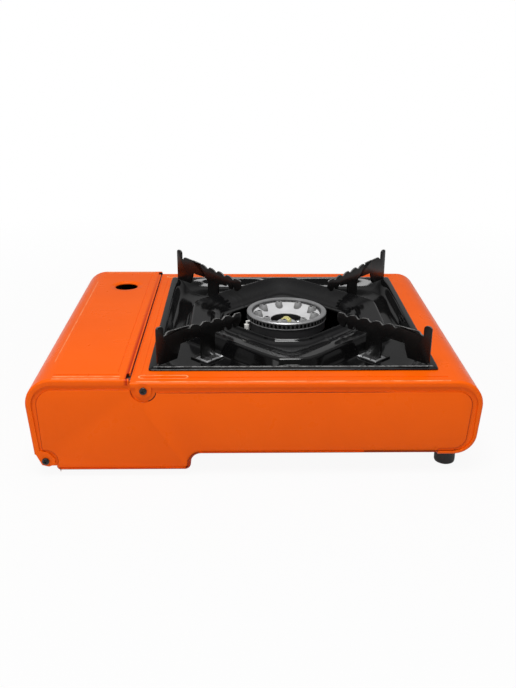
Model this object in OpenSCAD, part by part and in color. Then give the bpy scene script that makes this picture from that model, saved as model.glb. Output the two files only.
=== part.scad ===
// Portable butane cassette stove. Millimetres, +Z up, +X to the user's right, +Y to the back.
// The origin is on the ground, under the middle of the stove's bounding box.

/* [Casing] */
// Overall width over the side bends
body_w = 340; // [336:1:350]
// Depth over the front and rear flanges
body_d = 273; // [268:1:285]
// Height of the main top plate above the ground
top_z = 78; // [77:0.5:80]
// How far the cartridge lid stands above the main top plate
lid_rise = 2.5; // [2:0.1:4]
// Sheet thickness of the casing and the lid
sheet = 0.8; // [0.6:0.1:1]
// Outer radius of the bend between a skin and its end flanges
flange_bend = 2; // [1.5:0.1:2.5]
// Depth of the end flanges, bend included
flange_depth = 4; // [3.5:0.1:5]
// Radius of the upper side bend of the casing
top_corner_r = 20; // [16:0.5:22]
// Radius of the lower side bend of the casing
low_corner_r = 17; // [14:0.5:17]
// Radius of the lid's side bend
lid_corner_r = 21; // [18:0.5:23]
// Width of the cartridge lid, from the casing's edge to the right-hand side
lid_w = 78; // [76:0.5:80]
// Gap between the casing's edge and the lid's edge
split_gap = 0.6; // [0.4:0.1:1]
// Clearance between parts that slide or swing past each other
run_gap = 0.35; // [0.3:0.05:0.5]
// Clearance between parts that are fixed to each other
fit_gap = 0.2; // [0.1:0.05:0.3]

/* [Base pan] */
// Height of the underside of the shallow floor
shallow_z = 18.2; // [17:0.1:20]
// Height of the underside of the cartridge floor
deep_z = 4.7; // [4:0.1:6]
// Distance of the step between the two floors from the right-hand side
step_in = 121; // [118:0.5:124]
// Radius of the inner bend of the step
step_hi_r = 8; // [6:0.5:9]
// Radius of the outer bend of the step
step_lo_r = 4.5; // [3.5:0.5:5]
// Bend between the floor and the end walls
pan_bend = 2.5; // [2:0.1:3]
// Width of the recessed border that takes the flanges
border_w = 7.8; // [7:0.1:8.5]
// Distance of the cartridge floor's outer end from the right-hand side
deep_in = 19.3; // [18:0.1:21]
// Height of the up-turned edge at the end of the cartridge floor
deep_lip = 12; // [9:0.5:13]

/* [Tray] */
// Width of the tray opening in the top plate
tray_w = 216; // [214:1:218]
// Depth of the tray opening in the top plate
tray_d = 231; // [228:1:232]
// Sideways place of the tray and burner from the middle
burner_x = -29.5; // [-31:0.5:-28]
// Height of the tray's crest above the ground
crest_z = 83; // [82:0.5:84.5]
// Distance of the crest from the burner across its long sides
crest_r = 82.5; // [80:0.5:85]
// Distance of the crest's cut corners left and right of the burner
crest_side = 82; // [80:0.5:86]
// Distance of the crest's cut corners in front of and behind the burner
crest_end = 105; // [100:0.5:106]
// Half-width of the opening round the burner
tray_hole = 45; // [43:0.5:46]
// Vertical thickness of the pressed tray
tray_sheet = 1.1; // [0.9:0.1:1.4]

/* [Pan supports] */
// Thickness of a support plate
plate_t = 1.6; // [1.2:0.1:2]
// Height of the support horns, which is the stove's overall height
horn_z = 111; // [109:0.5:113]
// Distance of a horn's outer edge from the burner's axis
horn_reach = 151.5; // [149:0.5:152]
// Distance of a support's inner tip from the burner's axis
tip_reach = 59; // [57:0.5:62]
// Number of teeth on a support
teeth = 5; // [4:1:6]
// Depth of a notch between two teeth
tooth_depth = 2.4; // [1.8:0.1:3]

/* [Burner] */
// Outer diameter of the burner head
head_d = 70; // [66:0.5:74]
// Height of the burner's rim above the ground
rim_z = 86; // [84.5:0.5:87]
// Width of the flat rim
rim_w = 4.2; // [3.6:0.1:5]
// Number of flame ports round the head
ports = 60; // [48:1:64]
// Number of ribs inside the bowl
ribs = 9; // [8:1:12]
// Outer diameter of the mixing tube
tube_d = 17; // [15:0.5:18]

/* [Cartridge bay] */
// Diameter of the gas cartridge that the bay takes
can_d = 67; // [66:0.5:68]
// Length of the gas cartridge
can_l = 185; // [183:1:187]
// Distance of the cartridge's axis from the right-hand side
can_in = 49; // [48:0.5:50]
// Height of the cartridge's axis above the ground
can_z = 42; // [41.5:0.5:43]
// Travel of the cartridge pusher
push_travel = 9.5; // [8:0.5:10]

/* [Controls] */
// Diameter of the control knob
knob_d = 44; // [40:0.5:45]
// Distance of the knob's face from the front panel
knob_reach = 22; // [20:0.5:25]
// Distance of the knob's axis from the right-hand side
knob_in = 74; // [72:0.5:76]
// Height of the knob's axis above the ground
knob_z = 43; // [41:0.5:45]
// Distance of the cartridge lock lever from the right-hand side
lever_in = 108; // [107:0.5:110]
// Downward travel of the lock lever
lever_travel = 18; // [16:0.5:20]

/* [Lid and feet] */
// Distance of the lid's pivot from the right-hand side
pivot_in = 11.5; // [10.5:0.1:12]
// Height of the lid's pivot above the ground
pivot_z = 13.3; // [13:0.1:14]
// Diameter of the finger hole in the lid
finger_d = 21.5; // [19:0.5:24]
// Diameter of the rubber feet
foot_d = 16.2; // [14:0.1:18]
// Distance of the feet from the middle, front to back
foot_y = 114.5; // [108:0.5:116]
// Diameter of a casing screw's head
screw_head_d = 5.5; // [5:0.1:6]
// Height of a casing screw's head
screw_head_h = 1.8; // [1.4:0.1:2.2]

/* [Hidden] */

$fn = 48;
eps = 0.01;
half_w = body_w / 2;
half_d = body_d / 2;
lid_z = top_z + lid_rise;
split_x = half_w - lid_w;
step_x = half_w - step_in;
deep_end_x = half_w - deep_in;
can_x = half_w - can_in;
knob_x = half_w - knob_in;
lever_x = half_w - lever_in;
pivot_x = half_w - pivot_in;

// the knob stands out in front and the pivot screws behind, so the body sits off the origin
screw_out = half_d + fit_gap + screw_head_h;
knob_front = half_d + knob_reach;
home_y = (knob_front - screw_out) / 2;

// colours
orange = "#f2650f";
enamel = "#1a1a1b";
zinc = "#a9abad";
rubber = "#202020";

module stand() {
    translate([0, home_y, 0])
        children();
}

// ---- bent sheet: one skin with a flange at the front and one at the rear ----
// The section is drawn as (n, y): n is the distance out from the skin's outer face.
module skin_section(hd, bend, deep, t) {
    translate([-t, bend - hd])
        square([t, 2 * (hd - bend)]);
    for (s = [-1, 1]) {
        translate([-deep, s * (hd - t / 2) - t / 2])
            square([deep - bend, t]);
        translate([-bend, s * (hd - bend)])
            intersection() {
                difference() {
                    circle(r = bend);
                    circle(r = bend - t);
                }
                translate([0, s * bend / 2 - bend / 2])
                    square(bend);
            }
    }
}

// a straight stretch from a to b, both (x, z); the skin faces the left-hand side of a to b
module skin_run(a, b) {
    d = b - a;
    translate([a.x, 0, a.y])
        rotate([0, atan2(d.x, d.y), 0])
            linear_extrude(norm(d))
                children();
}

// a bend about (x, z) from one angle to another; a hollow bend faces its own centre
module skin_bend(c, r, from, to, hollow = false) {
    translate([c.x, 0, c.y])
        rotate([90, 0, 0])
            rotate_extrude(angle = to - from, start = from, $fn = 96)
                translate([r, 0])
                    mirror([hollow ? 1 : 0, 0])
                        children();
}

// a frame on a bend's centre whose x points outward at angle a and whose z runs on along the skin
module on_bend(c, a) {
    translate([c.x, 0, c.y])
        rotate([0, -a, 0])
            children();
}

module flat_plate(y, t) {
    translate([0, y, 0])
        rotate([90, 0, 0])
            linear_extrude(t)
                children();
}

// ---- casing outline in (x, z) ----
hi_c = [-half_w + top_corner_r, top_z - top_corner_r];
lip_z = shallow_z - fit_gap - sheet;
// the side walls lean in by 4.35 degrees towards the bottom
side_lean = atan2(237, 3116);
lid_lean = side_lean;
lean = 180 + side_lean;
side_drop = hi_c.y - lip_z - low_corner_r + (top_corner_r - low_corner_r) * sin(lean);
side_l = round(100 * side_drop / cos(side_lean)) / 100;
low_c = hi_c + (top_corner_r - low_corner_r) * [cos(lean), sin(lean)] + side_l * [-sin(lean), cos(lean)];
lip_l = 12;
lip_end = low_c.x + lip_l;
lid_c = [half_w - lid_corner_r, lid_z - lid_corner_r];
lid_foot_z = pivot_z + 5.2;
lid_foot_drop = lid_c.y - lid_corner_r * sin(lid_lean) - lid_foot_z;
lid_side_l = round(100 * lid_foot_drop / cos(lid_lean)) / 100;

function at(c, r, a) = c + r * [cos(a), sin(a)];
function arc(c, r, from, to, n = 10) = [for (k = [0:n]) at(c, r, from + (to - from) * k / n)];
function lid_side(d) = at(lid_c, lid_corner_r - d, -lid_lean);
function lid_foot(d) = lid_side(d) - lid_foot_drop * [tan(lid_lean), 1];

pivot = [pivot_x, pivot_z];
casing_screw = [split_x - 9.7, top_z - 6.5];
pan_wall_z = shallow_z + pan_bend;
// where the end walls meet the bend of the floors, from right to left; d lowers the line
function floor_edge(d) = concat([[deep_end_x - d, deep_z + pan_bend - d]],
    arc([step_x + step_lo_r, deep_z + step_lo_r], step_lo_r - pan_bend + d, 270, 180),
    arc([step_x - step_hi_r, shallow_z - step_hi_r], step_hi_r + pan_bend - d, 0, 90));

// the recessed border of an end wall, which lies inside the flanges of casing and lid
module wall_border() {
    d = sheet + run_gap;
    low_r = low_corner_r - d;
    polygon(concat([[low_c.x, pan_wall_z]],
        arc(low_c, low_r, 180 + asin((low_c.y - pan_wall_z) / low_r), lean),
        arc(hi_c, top_corner_r - d, lean, 90),
        [[split_x, top_z - d], [split_x, lid_z - d]],
        arc(lid_c, lid_corner_r - d, 90, -lid_lean),
        [lid_foot(d)],
        arc(pivot, 4.6, 0, -90),
        [[deep_end_x, pivot_z - 4.6]], floor_edge(0)));
}

// the raised middle of an end wall; d sets it in for the hollow behind it
field_shift = [0.8, -2];
field_low_r = low_corner_r - 7;
module wall_field(d) {
    difference() {
        polygon(concat([[lip_end + 1 + d, pan_wall_z - d], [lip_end - 1, pan_wall_z + 1.2 + d]],
            arc(low_c + field_shift, field_low_r - d, 270, lean),
            arc(hi_c, top_corner_r - border_w - d, lean, 90),
            [[split_x - 3, top_z - border_w - d], [split_x + 1, lid_z - border_w - d]],
            arc(lid_c, lid_corner_r - border_w - d, 90, 0),
            arc(pivot, 8.8 + d, 76, 195),
            floor_edge(d)));
        translate(casing_screw)
            circle(r = 9 + d);
    }
}

field_y = half_d - 0.1;
border_y = half_d - sheet - run_gap;

module end_wall() {
    difference() {
        union() {
            flat_plate(border_y, sheet)
                wall_border();
            flat_plate(field_y, field_y - border_y + sheet / 2)
                wall_field(0.2);
        }
        flat_plate(field_y - sheet, 6)
            wall_field(0.2 + sheet);
    }
}

vent_pitch = 9;
module base_pan() {
    stand()
        color(orange)
            difference() {
                union() {
                    floor_skins();
                    end_wall();
                    mirror([0, 1, 0])
                        end_wall();
                }
                // air inlets below the burner
                for (i = [-4:4])
                    translate([burner_x + i * vent_pitch - 1.5, -26, 0])
                        cube([3, 52, shallow_z + 4]);
                // pivot, casing, knob and lever openings
                for (s = [-1, 1]) {
                    along_y(pivot_x, pivot_z, s * (half_d - 6), s * half_d)
                        circle(r = pivot_shank_r + 0.05);
                    along_y(casing_screw.x, casing_screw.y, s * (half_d - 6), s * half_d)
                        circle(r = screw_shank_r + 0.05);
                }
                along_y(knob_x, knob_z, -half_d - 1, -half_d + 8)
                    circle(r = shaft_r + 2);
                translate([lever_x - lever_slot_w / 2, -half_d - 1, lever_hi - lever_travel - 3])
                    cube([lever_slot_w, 9, lever_travel + 6 + lever_tab_h]);
            }
}

// a cylinder-like cut or boss along y between two places
module along_y(x, z, y0, y1) {
    translate([x, max(y0, y1), z])
        rotate([90, 0, 0])
            linear_extrude(abs(y1 - y0))
                children();
}

floor_rim = pan_bend + 1.5;
module floor_skins() {
    hi = [step_x - step_hi_r, shallow_z];
    lo = [step_x + step_lo_r, deep_z];
    turn = deep_end_x - pan_bend;
    skin_run([low_c.x, shallow_z], [lip_end + 1, shallow_z])
        skin_section(border_y, pan_bend, floor_rim, sheet);
    skin_run([lip_end + 1, shallow_z], hi)
        skin_section(field_y, pan_bend, floor_rim, sheet);
    skin_bend([hi.x, shallow_z - step_hi_r], step_hi_r, 0, 90, true)
        skin_section(field_y, pan_bend, floor_rim, sheet);
    skin_run([step_x, shallow_z - step_hi_r], [step_x, deep_z + step_lo_r])
        skin_section(field_y, pan_bend, floor_rim, sheet);
    skin_bend([lo.x, deep_z + step_lo_r], step_lo_r, 180, 270)
        skin_section(field_y, pan_bend, floor_rim, sheet);
    skin_run(lo, [turn, deep_z])
        skin_section(field_y, pan_bend, floor_rim, sheet);
    skin_bend([turn, deep_z + pan_bend], pan_bend, 270, 360)
        translate([-sheet, -border_y + sheet])
            square([sheet, 2 * (border_y - sheet)]);
    skin_run([deep_end_x, deep_z + pan_bend], [deep_end_x, deep_z + deep_lip])
        translate([-sheet, -border_y + sheet])
            square([sheet, 2 * (border_y - sheet)]);
}

// ---- casing ----
tray_y = -1.9;
lip_flange = 2.7;
module top_casing() {
    stand()
        color(orange)
            difference() {
                union() {
                    skin_run([split_x, top_z], [hi_c.x, top_z])
                        skin_section(half_d, flange_bend, flange_depth, sheet);
                    skin_bend(hi_c, top_corner_r, 90, 140)
                        skin_section(half_d, flange_bend, flange_depth, sheet);
                    on_bend(hi_c, lean) {
                        skin_bend([0, 0], top_corner_r, -50, 0)
                            skin_section(half_d, flange_bend, flange_depth, sheet);
                        skin_run([top_corner_r, 0], [top_corner_r, side_l])
                            skin_section(half_d, flange_bend, flange_depth, sheet);
                        skin_bend([top_corner_r - low_corner_r, side_l], low_corner_r, 0, 50)
                            skin_section(half_d, flange_bend, flange_depth, sheet);
                        on_bend([top_corner_r - low_corner_r, side_l], -lean) {
                            skin_bend([0, 0], low_corner_r, 220, 270)
                                skin_section(half_d, flange_bend, flange_depth, sheet);
                            skin_run([0, -low_corner_r], [lip_l, -low_corner_r])
                                skin_section(half_d, flange_bend, lip_flange, sheet);
                        }
                    }
                    for (s = [-1, 1])
                        along_y(casing_screw.x, casing_screw.y, s * (half_d - sheet), s * half_d)
                            circle(r = 6);
                }
                translate([burner_x - tray_w / 2, tray_y - tray_d / 2, top_z - 10])
                    cube([tray_w, tray_d, 20]);
                for (s = [-1, 1])
                    along_y(casing_screw.x, casing_screw.y, s * (half_d - 4), s * (half_d + 1))
                        circle(r = screw_shank_r + 0.1);
                // the flange narrows down the side and round the lower bend
                for (s = [0, 1])
                    mirror([0, s, 0])
                        flat_plate(half_d + 1, 3)
                            polygon(concat(arc(low_c, low_corner_r - lip_flange - 0.3, 269, lean),
                                [hi_c - [top_corner_r - flange_depth - 0.4, 0], low_c]));
                // pressed lines round the top plate
                for (s = [-1, 1]) {
                    translate([hi_c.x + 6, s * (half_d - 9) - 0.9, top_z - 0.3])
                        cube([split_x - hi_c.x - 16, 1.8, 1]);
                    translate([split_x - 5.5 - 3 * s, -half_d + 14, top_z - 0.3])
                        cube([1.6, body_d - 28, 1]);
                }
            }
}

// ---- lid ----
lid_inner_x = split_x + split_gap;
lid_flange = flange_depth + 0.5;
finger_at = [can_x + 2, -87];
module lid() {
    stand()
        color(orange)
            difference() {
                union() {
                    on_bend(lid_c, -lid_lean) {
                        skin_run([lid_corner_r, -lid_side_l], [lid_corner_r, 0])
                            skin_section(half_d, flange_bend, lid_flange, sheet);
                        skin_bend([0, 0], lid_corner_r, 0, 50)
                            skin_section(half_d, flange_bend, lid_flange, sheet);
                    }
                    skin_bend(lid_c, lid_corner_r, 40, 90)
                        skin_section(half_d, flange_bend, lid_flange, sheet);
                    skin_run([lid_c.x, lid_z], [lid_inner_x, lid_z])
                        skin_section(half_d, flange_bend, lid_flange, sheet);
                    // down-turned inner edge and hemmed foot
                    translate([lid_inner_x, -half_d + flange_bend, lid_z - lid_rise + 0.2])
                        cube([sheet, body_d - 2 * flange_bend, lid_rise - 0.6]);
                    for (s = [-1, 1])
                        lid_ear(s);
                    // dished rim round the finger hole
                    translate([finger_at.x, finger_at.y, lid_z - sheet - 1])
                        cylinder(r1 = finger_d / 2 + 1, r2 = finger_d / 2 + 2.4, h = 1 + sheet / 2);
                }
                translate([finger_at.x, finger_at.y, lid_z - 8])
                    cylinder(d = finger_d, h = 12);
                translate([finger_at.x, finger_at.y, lid_z - 0.9])
                    cylinder(r1 = finger_d / 2, r2 = finger_d / 2 + 2, h = 1);
                for (s = [-1, 1])
                    along_y(pivot_x, pivot_z, s * (half_d - 4), s * (half_d + 1))
                        circle(r = pivot_shank_r + 0.08);
                // corner notch beside the casing, and the pressed lines
                for (s = [-1, 1])
                    translate([lid_inner_x - 1, s * (half_d - 7) - 5, lid_z - 4])
                        cube([3.6, 10, 8]);
                translate([lid_inner_x + 8, -half_d + 14, lid_z - 0.3])
                    cube([1.4, body_d - 28, 1]);
                for (s = [-1, 1])
                    translate([lid_inner_x + 8, s * (half_d - 9) - 0.9, lid_z - 0.3])
                        cube([lid_c.x - lid_inner_x - 8, 1.8, 1]);
            }
}

module lid_ear(s) {
    along_y(0, 0, s * (half_d - sheet), s * half_d)
        polygon([lid_foot(flange_bend - 0.6), lid_foot(flange_bend - 0.6) + [0, 3],
            lid_foot(lid_flange) + [0, 3], pivot + [-3, 6.5], pivot + [-7, 1.5],
            pivot + [-7, -3], pivot + [-2, -4.9], pivot + [3, -3.6]]);
}

module lid_bumpers() {
    stand()
        color(rubber)
            for (s = [-1, 1])
                translate([can_x - 14, s * (half_d - 22), lid_z - sheet - 3])
                    cylinder(d = 7, h = 3);
}

// ---- partition between burner and cartridge ----
wall_x = split_x - 7;
pan_top = deep_z + sheet;
end_y = border_y - sheet - fit_gap;
module bay_partition() {
    stand()
        color(zinc)
            difference() {
                union() {
                    translate([wall_x, -end_y, pan_top])
                        cube([1, 2 * end_y, top_z - sheet - fit_gap - pan_top]);
                    translate([wall_x, -end_y, top_z - sheet - fit_gap - 1])
                        cube([split_x - wall_x + 6, 2 * end_y, 1]);
                    translate([wall_x - 9, -end_y, pan_top])
                        cube([10, 2 * end_y, 1]);
                }
                // way through for the valve and the mixing tube
                translate([wall_x - 2, -half_d + 6, 24])
                    cube([4, 48, 42]);
                // slot for the heat plate, and warm-air slots
                translate([wall_x - 12, heat_y - heat_w / 2 - 0.5, pan_top - 1])
                    cube([16, heat_w + 1, 3.5]);
                for (i = [0:5])
                    translate([wall_x - 2, -40 + i * 24, 40])
                        cube([4, 12, 5]);
                // foot of the lever pin's bracket and the pusher's way
                translate([wall_x - 10, -half_d + 4, pan_top - 1])
                    cube([9.5, 40, 3]);
            }
}

// ---- cartridge bay ----
cradle_r = can_d / 2 + 0.8;
module cartridge_cradle() {
    stand()
        color(zinc)
            union() {
                translate([can_x, 70, can_z])
                    rotate([90, 0, 0])
                        rotate_extrude(angle = 44, start = 248, $fn = 96)
                            translate([cradle_r, 0])
                                square([1, 140]);
                for (s = [-1, 1])
                    translate([can_x + s * 11.5 - 2.5, -70, pan_top])
                        cube([5, 140, can_z - pan_top - sqrt(pow(cradle_r + 1, 2) - 81) + 0.5]);
            }
}

heat_y = 12;
heat_w = 26;
heat_t = 1.2;
module heat_plate() {
    under = pan_top + fit_gap;
    shelf = shallow_z + sheet + 3;
    up_x = burner_x + head_d / 2 + 13;
    stand()
        color("#c8cacc")
            translate([0, heat_y - heat_w / 2, 0]) {
                translate([step_x + 12, 0, under])
                    cube([can_x - step_x - 28, heat_w, heat_t]);
                translate([step_x + 12, 0, under])
                    cube([heat_t, heat_w, shelf - under + heat_t]);
                translate([up_x, 0, shelf])
                    cube([step_x + 12 - up_x + heat_t, heat_w, heat_t]);
                translate([up_x, 0, shelf])
                    cube([heat_t, heat_w, 44]);
            }
}

module pusher_rail() {
    stand()
        color(zinc)
            for (s = [-1, 1])
                translate([can_x + s * 24 - 1.5, 60, pan_top])
                    cube([3, end_y - 60, 3]);
}

// ---- regulator ----
reg_y = -half_d + 16;
reg_l = 24;
reg_r = 22;
valve_r = 11;
module regulator_body() {
    stand()
        color("#b9bbbd")
            difference() {
                union() {
                    along_y(can_x, can_z, reg_y, reg_y + reg_l)
                        circle(r = reg_r);
                    along_y(can_x, can_z, reg_y + reg_l - eps, reg_y + reg_l + 2)
                        circle(r = 12);
                    // main valve beside it, in line with the knob
                    along_y(knob_x, knob_z, reg_y + 2, reg_y + 18)
                        circle(r = valve_r);
                    translate([knob_x, reg_y + 4, can_z - 8])
                        cube([can_x - knob_x, 12, 16]);
                    // bracket to the pan floor
                    translate([can_x - 14, reg_y + 4, pan_top])
                        cube([28, 3, can_z - reg_r - pan_top + 4]);
                    translate([can_x - 14, reg_y + 4, pan_top])
                        cube([28, 12, 1.5]);
                }
                along_y(knob_x, knob_z, reg_y, reg_y + 12)
                    circle(r = shaft_r + 0.08);
                gas_line(-2, 14)
                    circle(r = 4.05);
            }
}

module regulator_cover() {
    stand()
        color("#8f9193")
            union() {
                along_y(can_x, can_z, reg_y - 2.5, reg_y)
                    circle(r = reg_r);
                along_y(can_x, can_z, reg_y - 6.5, reg_y - 2.5 + eps)
                    circle(r = 12);
            }
}

module regulator_screws() {
    stand()
        color("silver")
            for (a = [45:90:315])
                along_y(can_x + 18 * cos(a), can_z + 18 * sin(a), reg_y - 4.3, reg_y - 2.5)
                    circle(r = 2.6);
}

module cartridge_inlet() {
    y0 = reg_y + reg_l + 2;
    stand()
        color("#c9a64a")
            difference() {
                union() {
                    along_y(can_x, can_z, y0, y0 + 2)
                        circle(r = 9);
                    along_y(can_x, can_z, y0, y0 + 4)
                        circle(r = 4.5);
                }
                along_y(can_x, can_z, y0 - 1, y0 + 5)
                    circle(r = 2);
            }
}

module inlet_gasket() {
    y0 = reg_y + reg_l + 4;
    stand()
        color(rubber)
            difference() {
                along_y(can_x, can_z, y0, y0 + 1.2)
                    circle(r = 8);
                along_y(can_x, can_z, y0 - 1, y0 + 3)
                    circle(r = 4.6);
            }
}

// the plate whose tongue fits the notch in the cartridge's collar
module collar_guide() {
    y0 = reg_y + reg_l + 2;
    stand()
        color(zinc)
            difference() {
                union() {
                    along_y(can_x, can_z, y0 - 2, y0 - 2 + 1.2)
                        circle(r = 25);
                    translate([can_x - 3, y0 - 2, can_z + 18])
                        cube([6, 8, 1.5]);
                    translate([can_x - 20, y0 - 2, pan_top])
                        cube([40, 1.2, can_z - 18 - pan_top]);
                }
                along_y(can_x, can_z, y0 - 3, y0)
                    circle(r = 12.1);
            }
}

// ---- gas way to the burner ----
jet_start = [knob_x - valve_r + 1, reg_y + 12];
burner_at = [burner_x, 0];
jet_dir = (burner_at - jet_start) / norm(burner_at - jet_start);
jet_angle = atan2(jet_dir.y, jet_dir.x);
gas_z = knob_z + 3;

// a round piece along the line from the valve to the burner
module gas_line(from, length) {
    translate([jet_start.x + from * jet_dir.x, jet_start.y + from * jet_dir.y, gas_z])
        rotate([0, 0, jet_angle])
            rotate([0, 90, 0])
                linear_extrude(length)
                    children();
}

module gas_jet() {
    stand()
        color("#c9a64a")
            difference() {
                union() {
                    gas_line(-1, 12)
                        circle(r = 4);
                    gas_line(6, 3)
                        circle(r = 6, $fn = 6);
                }
                gas_line(4, 9)
                    circle(r = 0.6);
            }
}

tube_from = 12;
tube_to = norm(burner_at - jet_start) - 9;
module mixing_tube() {
    stand()
        color("#9b9c9e")
            difference() {
                union() {
                    gas_line(tube_from, tube_to - tube_from)
                        circle(d = tube_d);
                    gas_line(tube_from, 3)
                        circle(d = tube_d + 4);
                }
                gas_line(tube_from - 1, tube_to - tube_from + 2)
                    circle(d = tube_d - 2.4);
                // air inlets
                for (a = [0:60:300])
                    gas_line(tube_from + 6, 9)
                        rotate(a)
                            translate([tube_d / 2 - 2, -2])
                                square([4, 4]);
            }
}

module air_shutter() {
    stand()
        color(zinc)
            difference() {
                gas_line(tube_from + 4, 13)
                    circle(d = tube_d + 2);
                gas_line(tube_from + 3, 15)
                    circle(d = tube_d + 0.1);
                for (a = [0:60:300])
                    gas_line(tube_from + 8, 7)
                        rotate(a)
                            translate([tube_d / 2 - 2, -1.5])
                                square([5, 3]);
            }
}

// ---- burner ----
cup_top = rim_z - 6;
cup_r = head_d / 2 - 1;
cup_base = gas_z - tube_d / 2 - 4;
module at_burner() {
    stand()
        translate([burner_x, 0, 0])
            children();
}

module burner_cup() {
    at_burner()
        color("#4b4c4e")
            difference() {
                rotate_extrude($fn = 96)
                    difference() {
                        polygon([[0, cup_base], [15, cup_base], [15, cup_base + 26], [cup_r, cup_top - 8],
                            [cup_r, cup_top], [0, cup_top]]);
                        polygon([[0, cup_base + 3], [12.5, cup_base + 3], [12.5, cup_base + 25],
                            [cup_r - 2, cup_top - 9], [cup_r - 2, cup_top + 1], [0, cup_top + 1]]);
                    }
                // port that takes the mixing tube
                translate([0, 0, gas_z])
                    rotate([0, 0, jet_angle + 180])
                        rotate([0, 90, 0])
                            cylinder(d = tube_d + 0.1, h = 30);
            }
}

bowl_z = rim_z - 8;
hub_z = rim_z - 12;
hub_r = 8;
rib_r = head_d / 2 - 8.5;
rib_turn = 3;
throat_r = 13.6;
module burner_head() {
    r = head_d / 2;
    at_burner()
        color("#d5d7d9")
            difference() {
                union() {
                    rotate_extrude($fn = 96)
                        polygon([[r - 1, cup_top], [r, cup_top], [r, rim_z - 0.7], [r - 0.7, rim_z],
                            [r - rim_w, rim_z], [r - rim_w - 0.5, rim_z - 2.3], [r - rim_w - 1.3, rim_z - 2.8],
                            [throat_r + 1, bowl_z], [throat_r, bowl_z - 0.8], [throat_r, hub_z - 2],
                            [throat_r + 1.8, hub_z - 2], [throat_r + 1.8, bowl_z - 2.2], [r - 5, rim_z - 5],
                            [r - 3, cup_top]]);
                    // tapered posts up the wall of the bowl
                    intersection() {
                        for (i = [0:ribs - 1])
                            rotate(i * 360 / ribs + rib_turn)
                                translate([rib_r, 0, bowl_z - 1])
                                    cylinder(r1 = 4.4, r2 = 2.3, h = rim_z - bowl_z);
                        rotate_extrude($fn = 96)
                            polygon([[throat_r + 1, bowl_z - 1.2], [r - 7, rim_z - 4.2], [r - rim_w - 0.2, rim_z - 3],
                                [r - rim_w - 0.2, rim_z], [throat_r + 1, rim_z]]);
                    }
                    // bridge with its hub across the dark middle
                    translate([0, 0, hub_z - 2])
                        cylinder(r = hub_r, h = 3);
                    rotate(rib_turn)
                        translate([-throat_r - 1, -3.4, hub_z - 2])
                            cube([2 * throat_r + 2, 6.8, 2.2]);
                }
                for (i = [0:ports - 1])
                    rotate(i * 360 / ports)
                        translate([r - 5, -1.1, cup_top + 0.9])
                            cube([8, 2.2, 3.2]);
                for (i = [0:ribs - 1])
                    rotate(i * 360 / ribs + rib_turn)
                        translate([rib_r + 0.4, 0, rim_z - 6])
                            cylinder(r = 0.8, h = 10, $fn = 16);
                translate([0, 0, hub_z - 3])
                    cylinder(r = 2.6, h = 8);
            }
}

module burner_nut() {
    at_burner()
        color("#d9c46a")
            union() {
                translate([0, 0, hub_z + 1])
                    cylinder(r = 4.6, h = 3, $fn = 6);
                translate([0, 0, cup_base + 3])
                    cylinder(r = 2.5, h = hub_z - cup_base + 2.4);
            }
}

module burner_screws() {
    at_burner()
        color("silver")
            for (s = [-1, 1])
                rotate(rib_turn)
                    translate([s * 10.6, 0, hub_z + 0.2])
                        cylinder(r = 2.2, h = 1.8);
}

module burner_stand() {
    floor_top = shallow_z + sheet;
    at_burner()
        color(zinc)
            difference() {
                union() {
                    translate([-20, -46, cup_base - 2])
                        cube([40, 92, 2]);
                    for (s = [-1, 1]) {
                        translate([-20, s * 45 - 1, floor_top])
                            cube([40, 2, cup_base - floor_top]);
                        translate([-20, s * 51 - 7, floor_top])
                            cube([40, 14, 1.5]);
                    }
                }
                translate([0, 0, cup_base - 3])
                    cylinder(r = 2.6, h = 5);
            }
}

// ---- ignition ----
spark_a = 26;
spark_r = head_d / 2 + 4.2;
module electrode_bracket() {
    at_burner()
        rotate(spark_a)
            color(zinc)
                difference() {
                    union() {
                        translate([spark_r - 4, -5, cup_base])
                            cube([8, 10, 1.2]);
                        translate([15.1, -5, cup_base])
                            cube([spark_r - 15, 10, 1.2]);
                        translate([spark_r - 4, -5, cup_base])
                            cube([1.2, 10, 20]);
                    }
                    translate([spark_r, 0, cup_base - 1])
                        cylinder(r = 2.15, h = 4);
                }
}

module igniter_electrode() {
    at_burner()
        rotate(spark_a)
            translate([spark_r, 0, cup_base - 6]) {
                color("#f3f1ea")
                    cylinder(r = 2.1, h = cup_top - cup_base + 5);
                color("silver")
                    cylinder(r = 0.8, h = cup_top - cup_base + 8);
                color("silver")
                    translate([-3, -0.6, cup_top - cup_base + 7])
                        cube([3, 1.2, 1.2]);
            }
}

piezo_at = [lever_x + 8, -half_d + 6, 24];
module piezo_igniter() {
    stand()
        color("#33363a")
            translate(piezo_at) {
                cube([11, 30, 11]);
                translate([5.5, 30, 5.5])
                    rotate([-90, 0, 0])
                        cylinder(r = 2.5, h = 5);
            }
}

// wire from the igniter's back to the foot of the electrode: a swept tube on round points
wire_r = 1.2;
wire_end = [burner_x + spark_r * cos(spark_a), spark_r * sin(spark_a), cup_base - 6];
wire_start = [piezo_at.x + 5.5, piezo_at.y + 35, piezo_at.z + 5.5];
wire_route = [wire_start, wire_start + [0, 6, 0], [62, -66, 27], [44, -44, 25], [24, -20, 24.5],
    [12, -6, 24], wire_end + [2.5, -9, -4], wire_end + [0.6, -2.6, -4.6], wire_end - [0, 0, 3], wire_end];
function wire_dir(i) = let (n = len(wire_route) - 1)
    (wire_route[min(i + 1, n)] - wire_route[max(i - 1, 0)]);
function unit(v) = v / norm(v);
wire_sides = 8;
function wire_ring(i) =
    let (t = unit(wire_dir(i)), u = unit(cross(t, [0.3, 0.2, 1])), v = cross(t, u))
        [for (k = [0:wire_sides - 1])
            wire_route[i] + wire_r * (cos(k * 360 / wire_sides) * u + sin(k * 360 / wire_sides) * v)];
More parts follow.
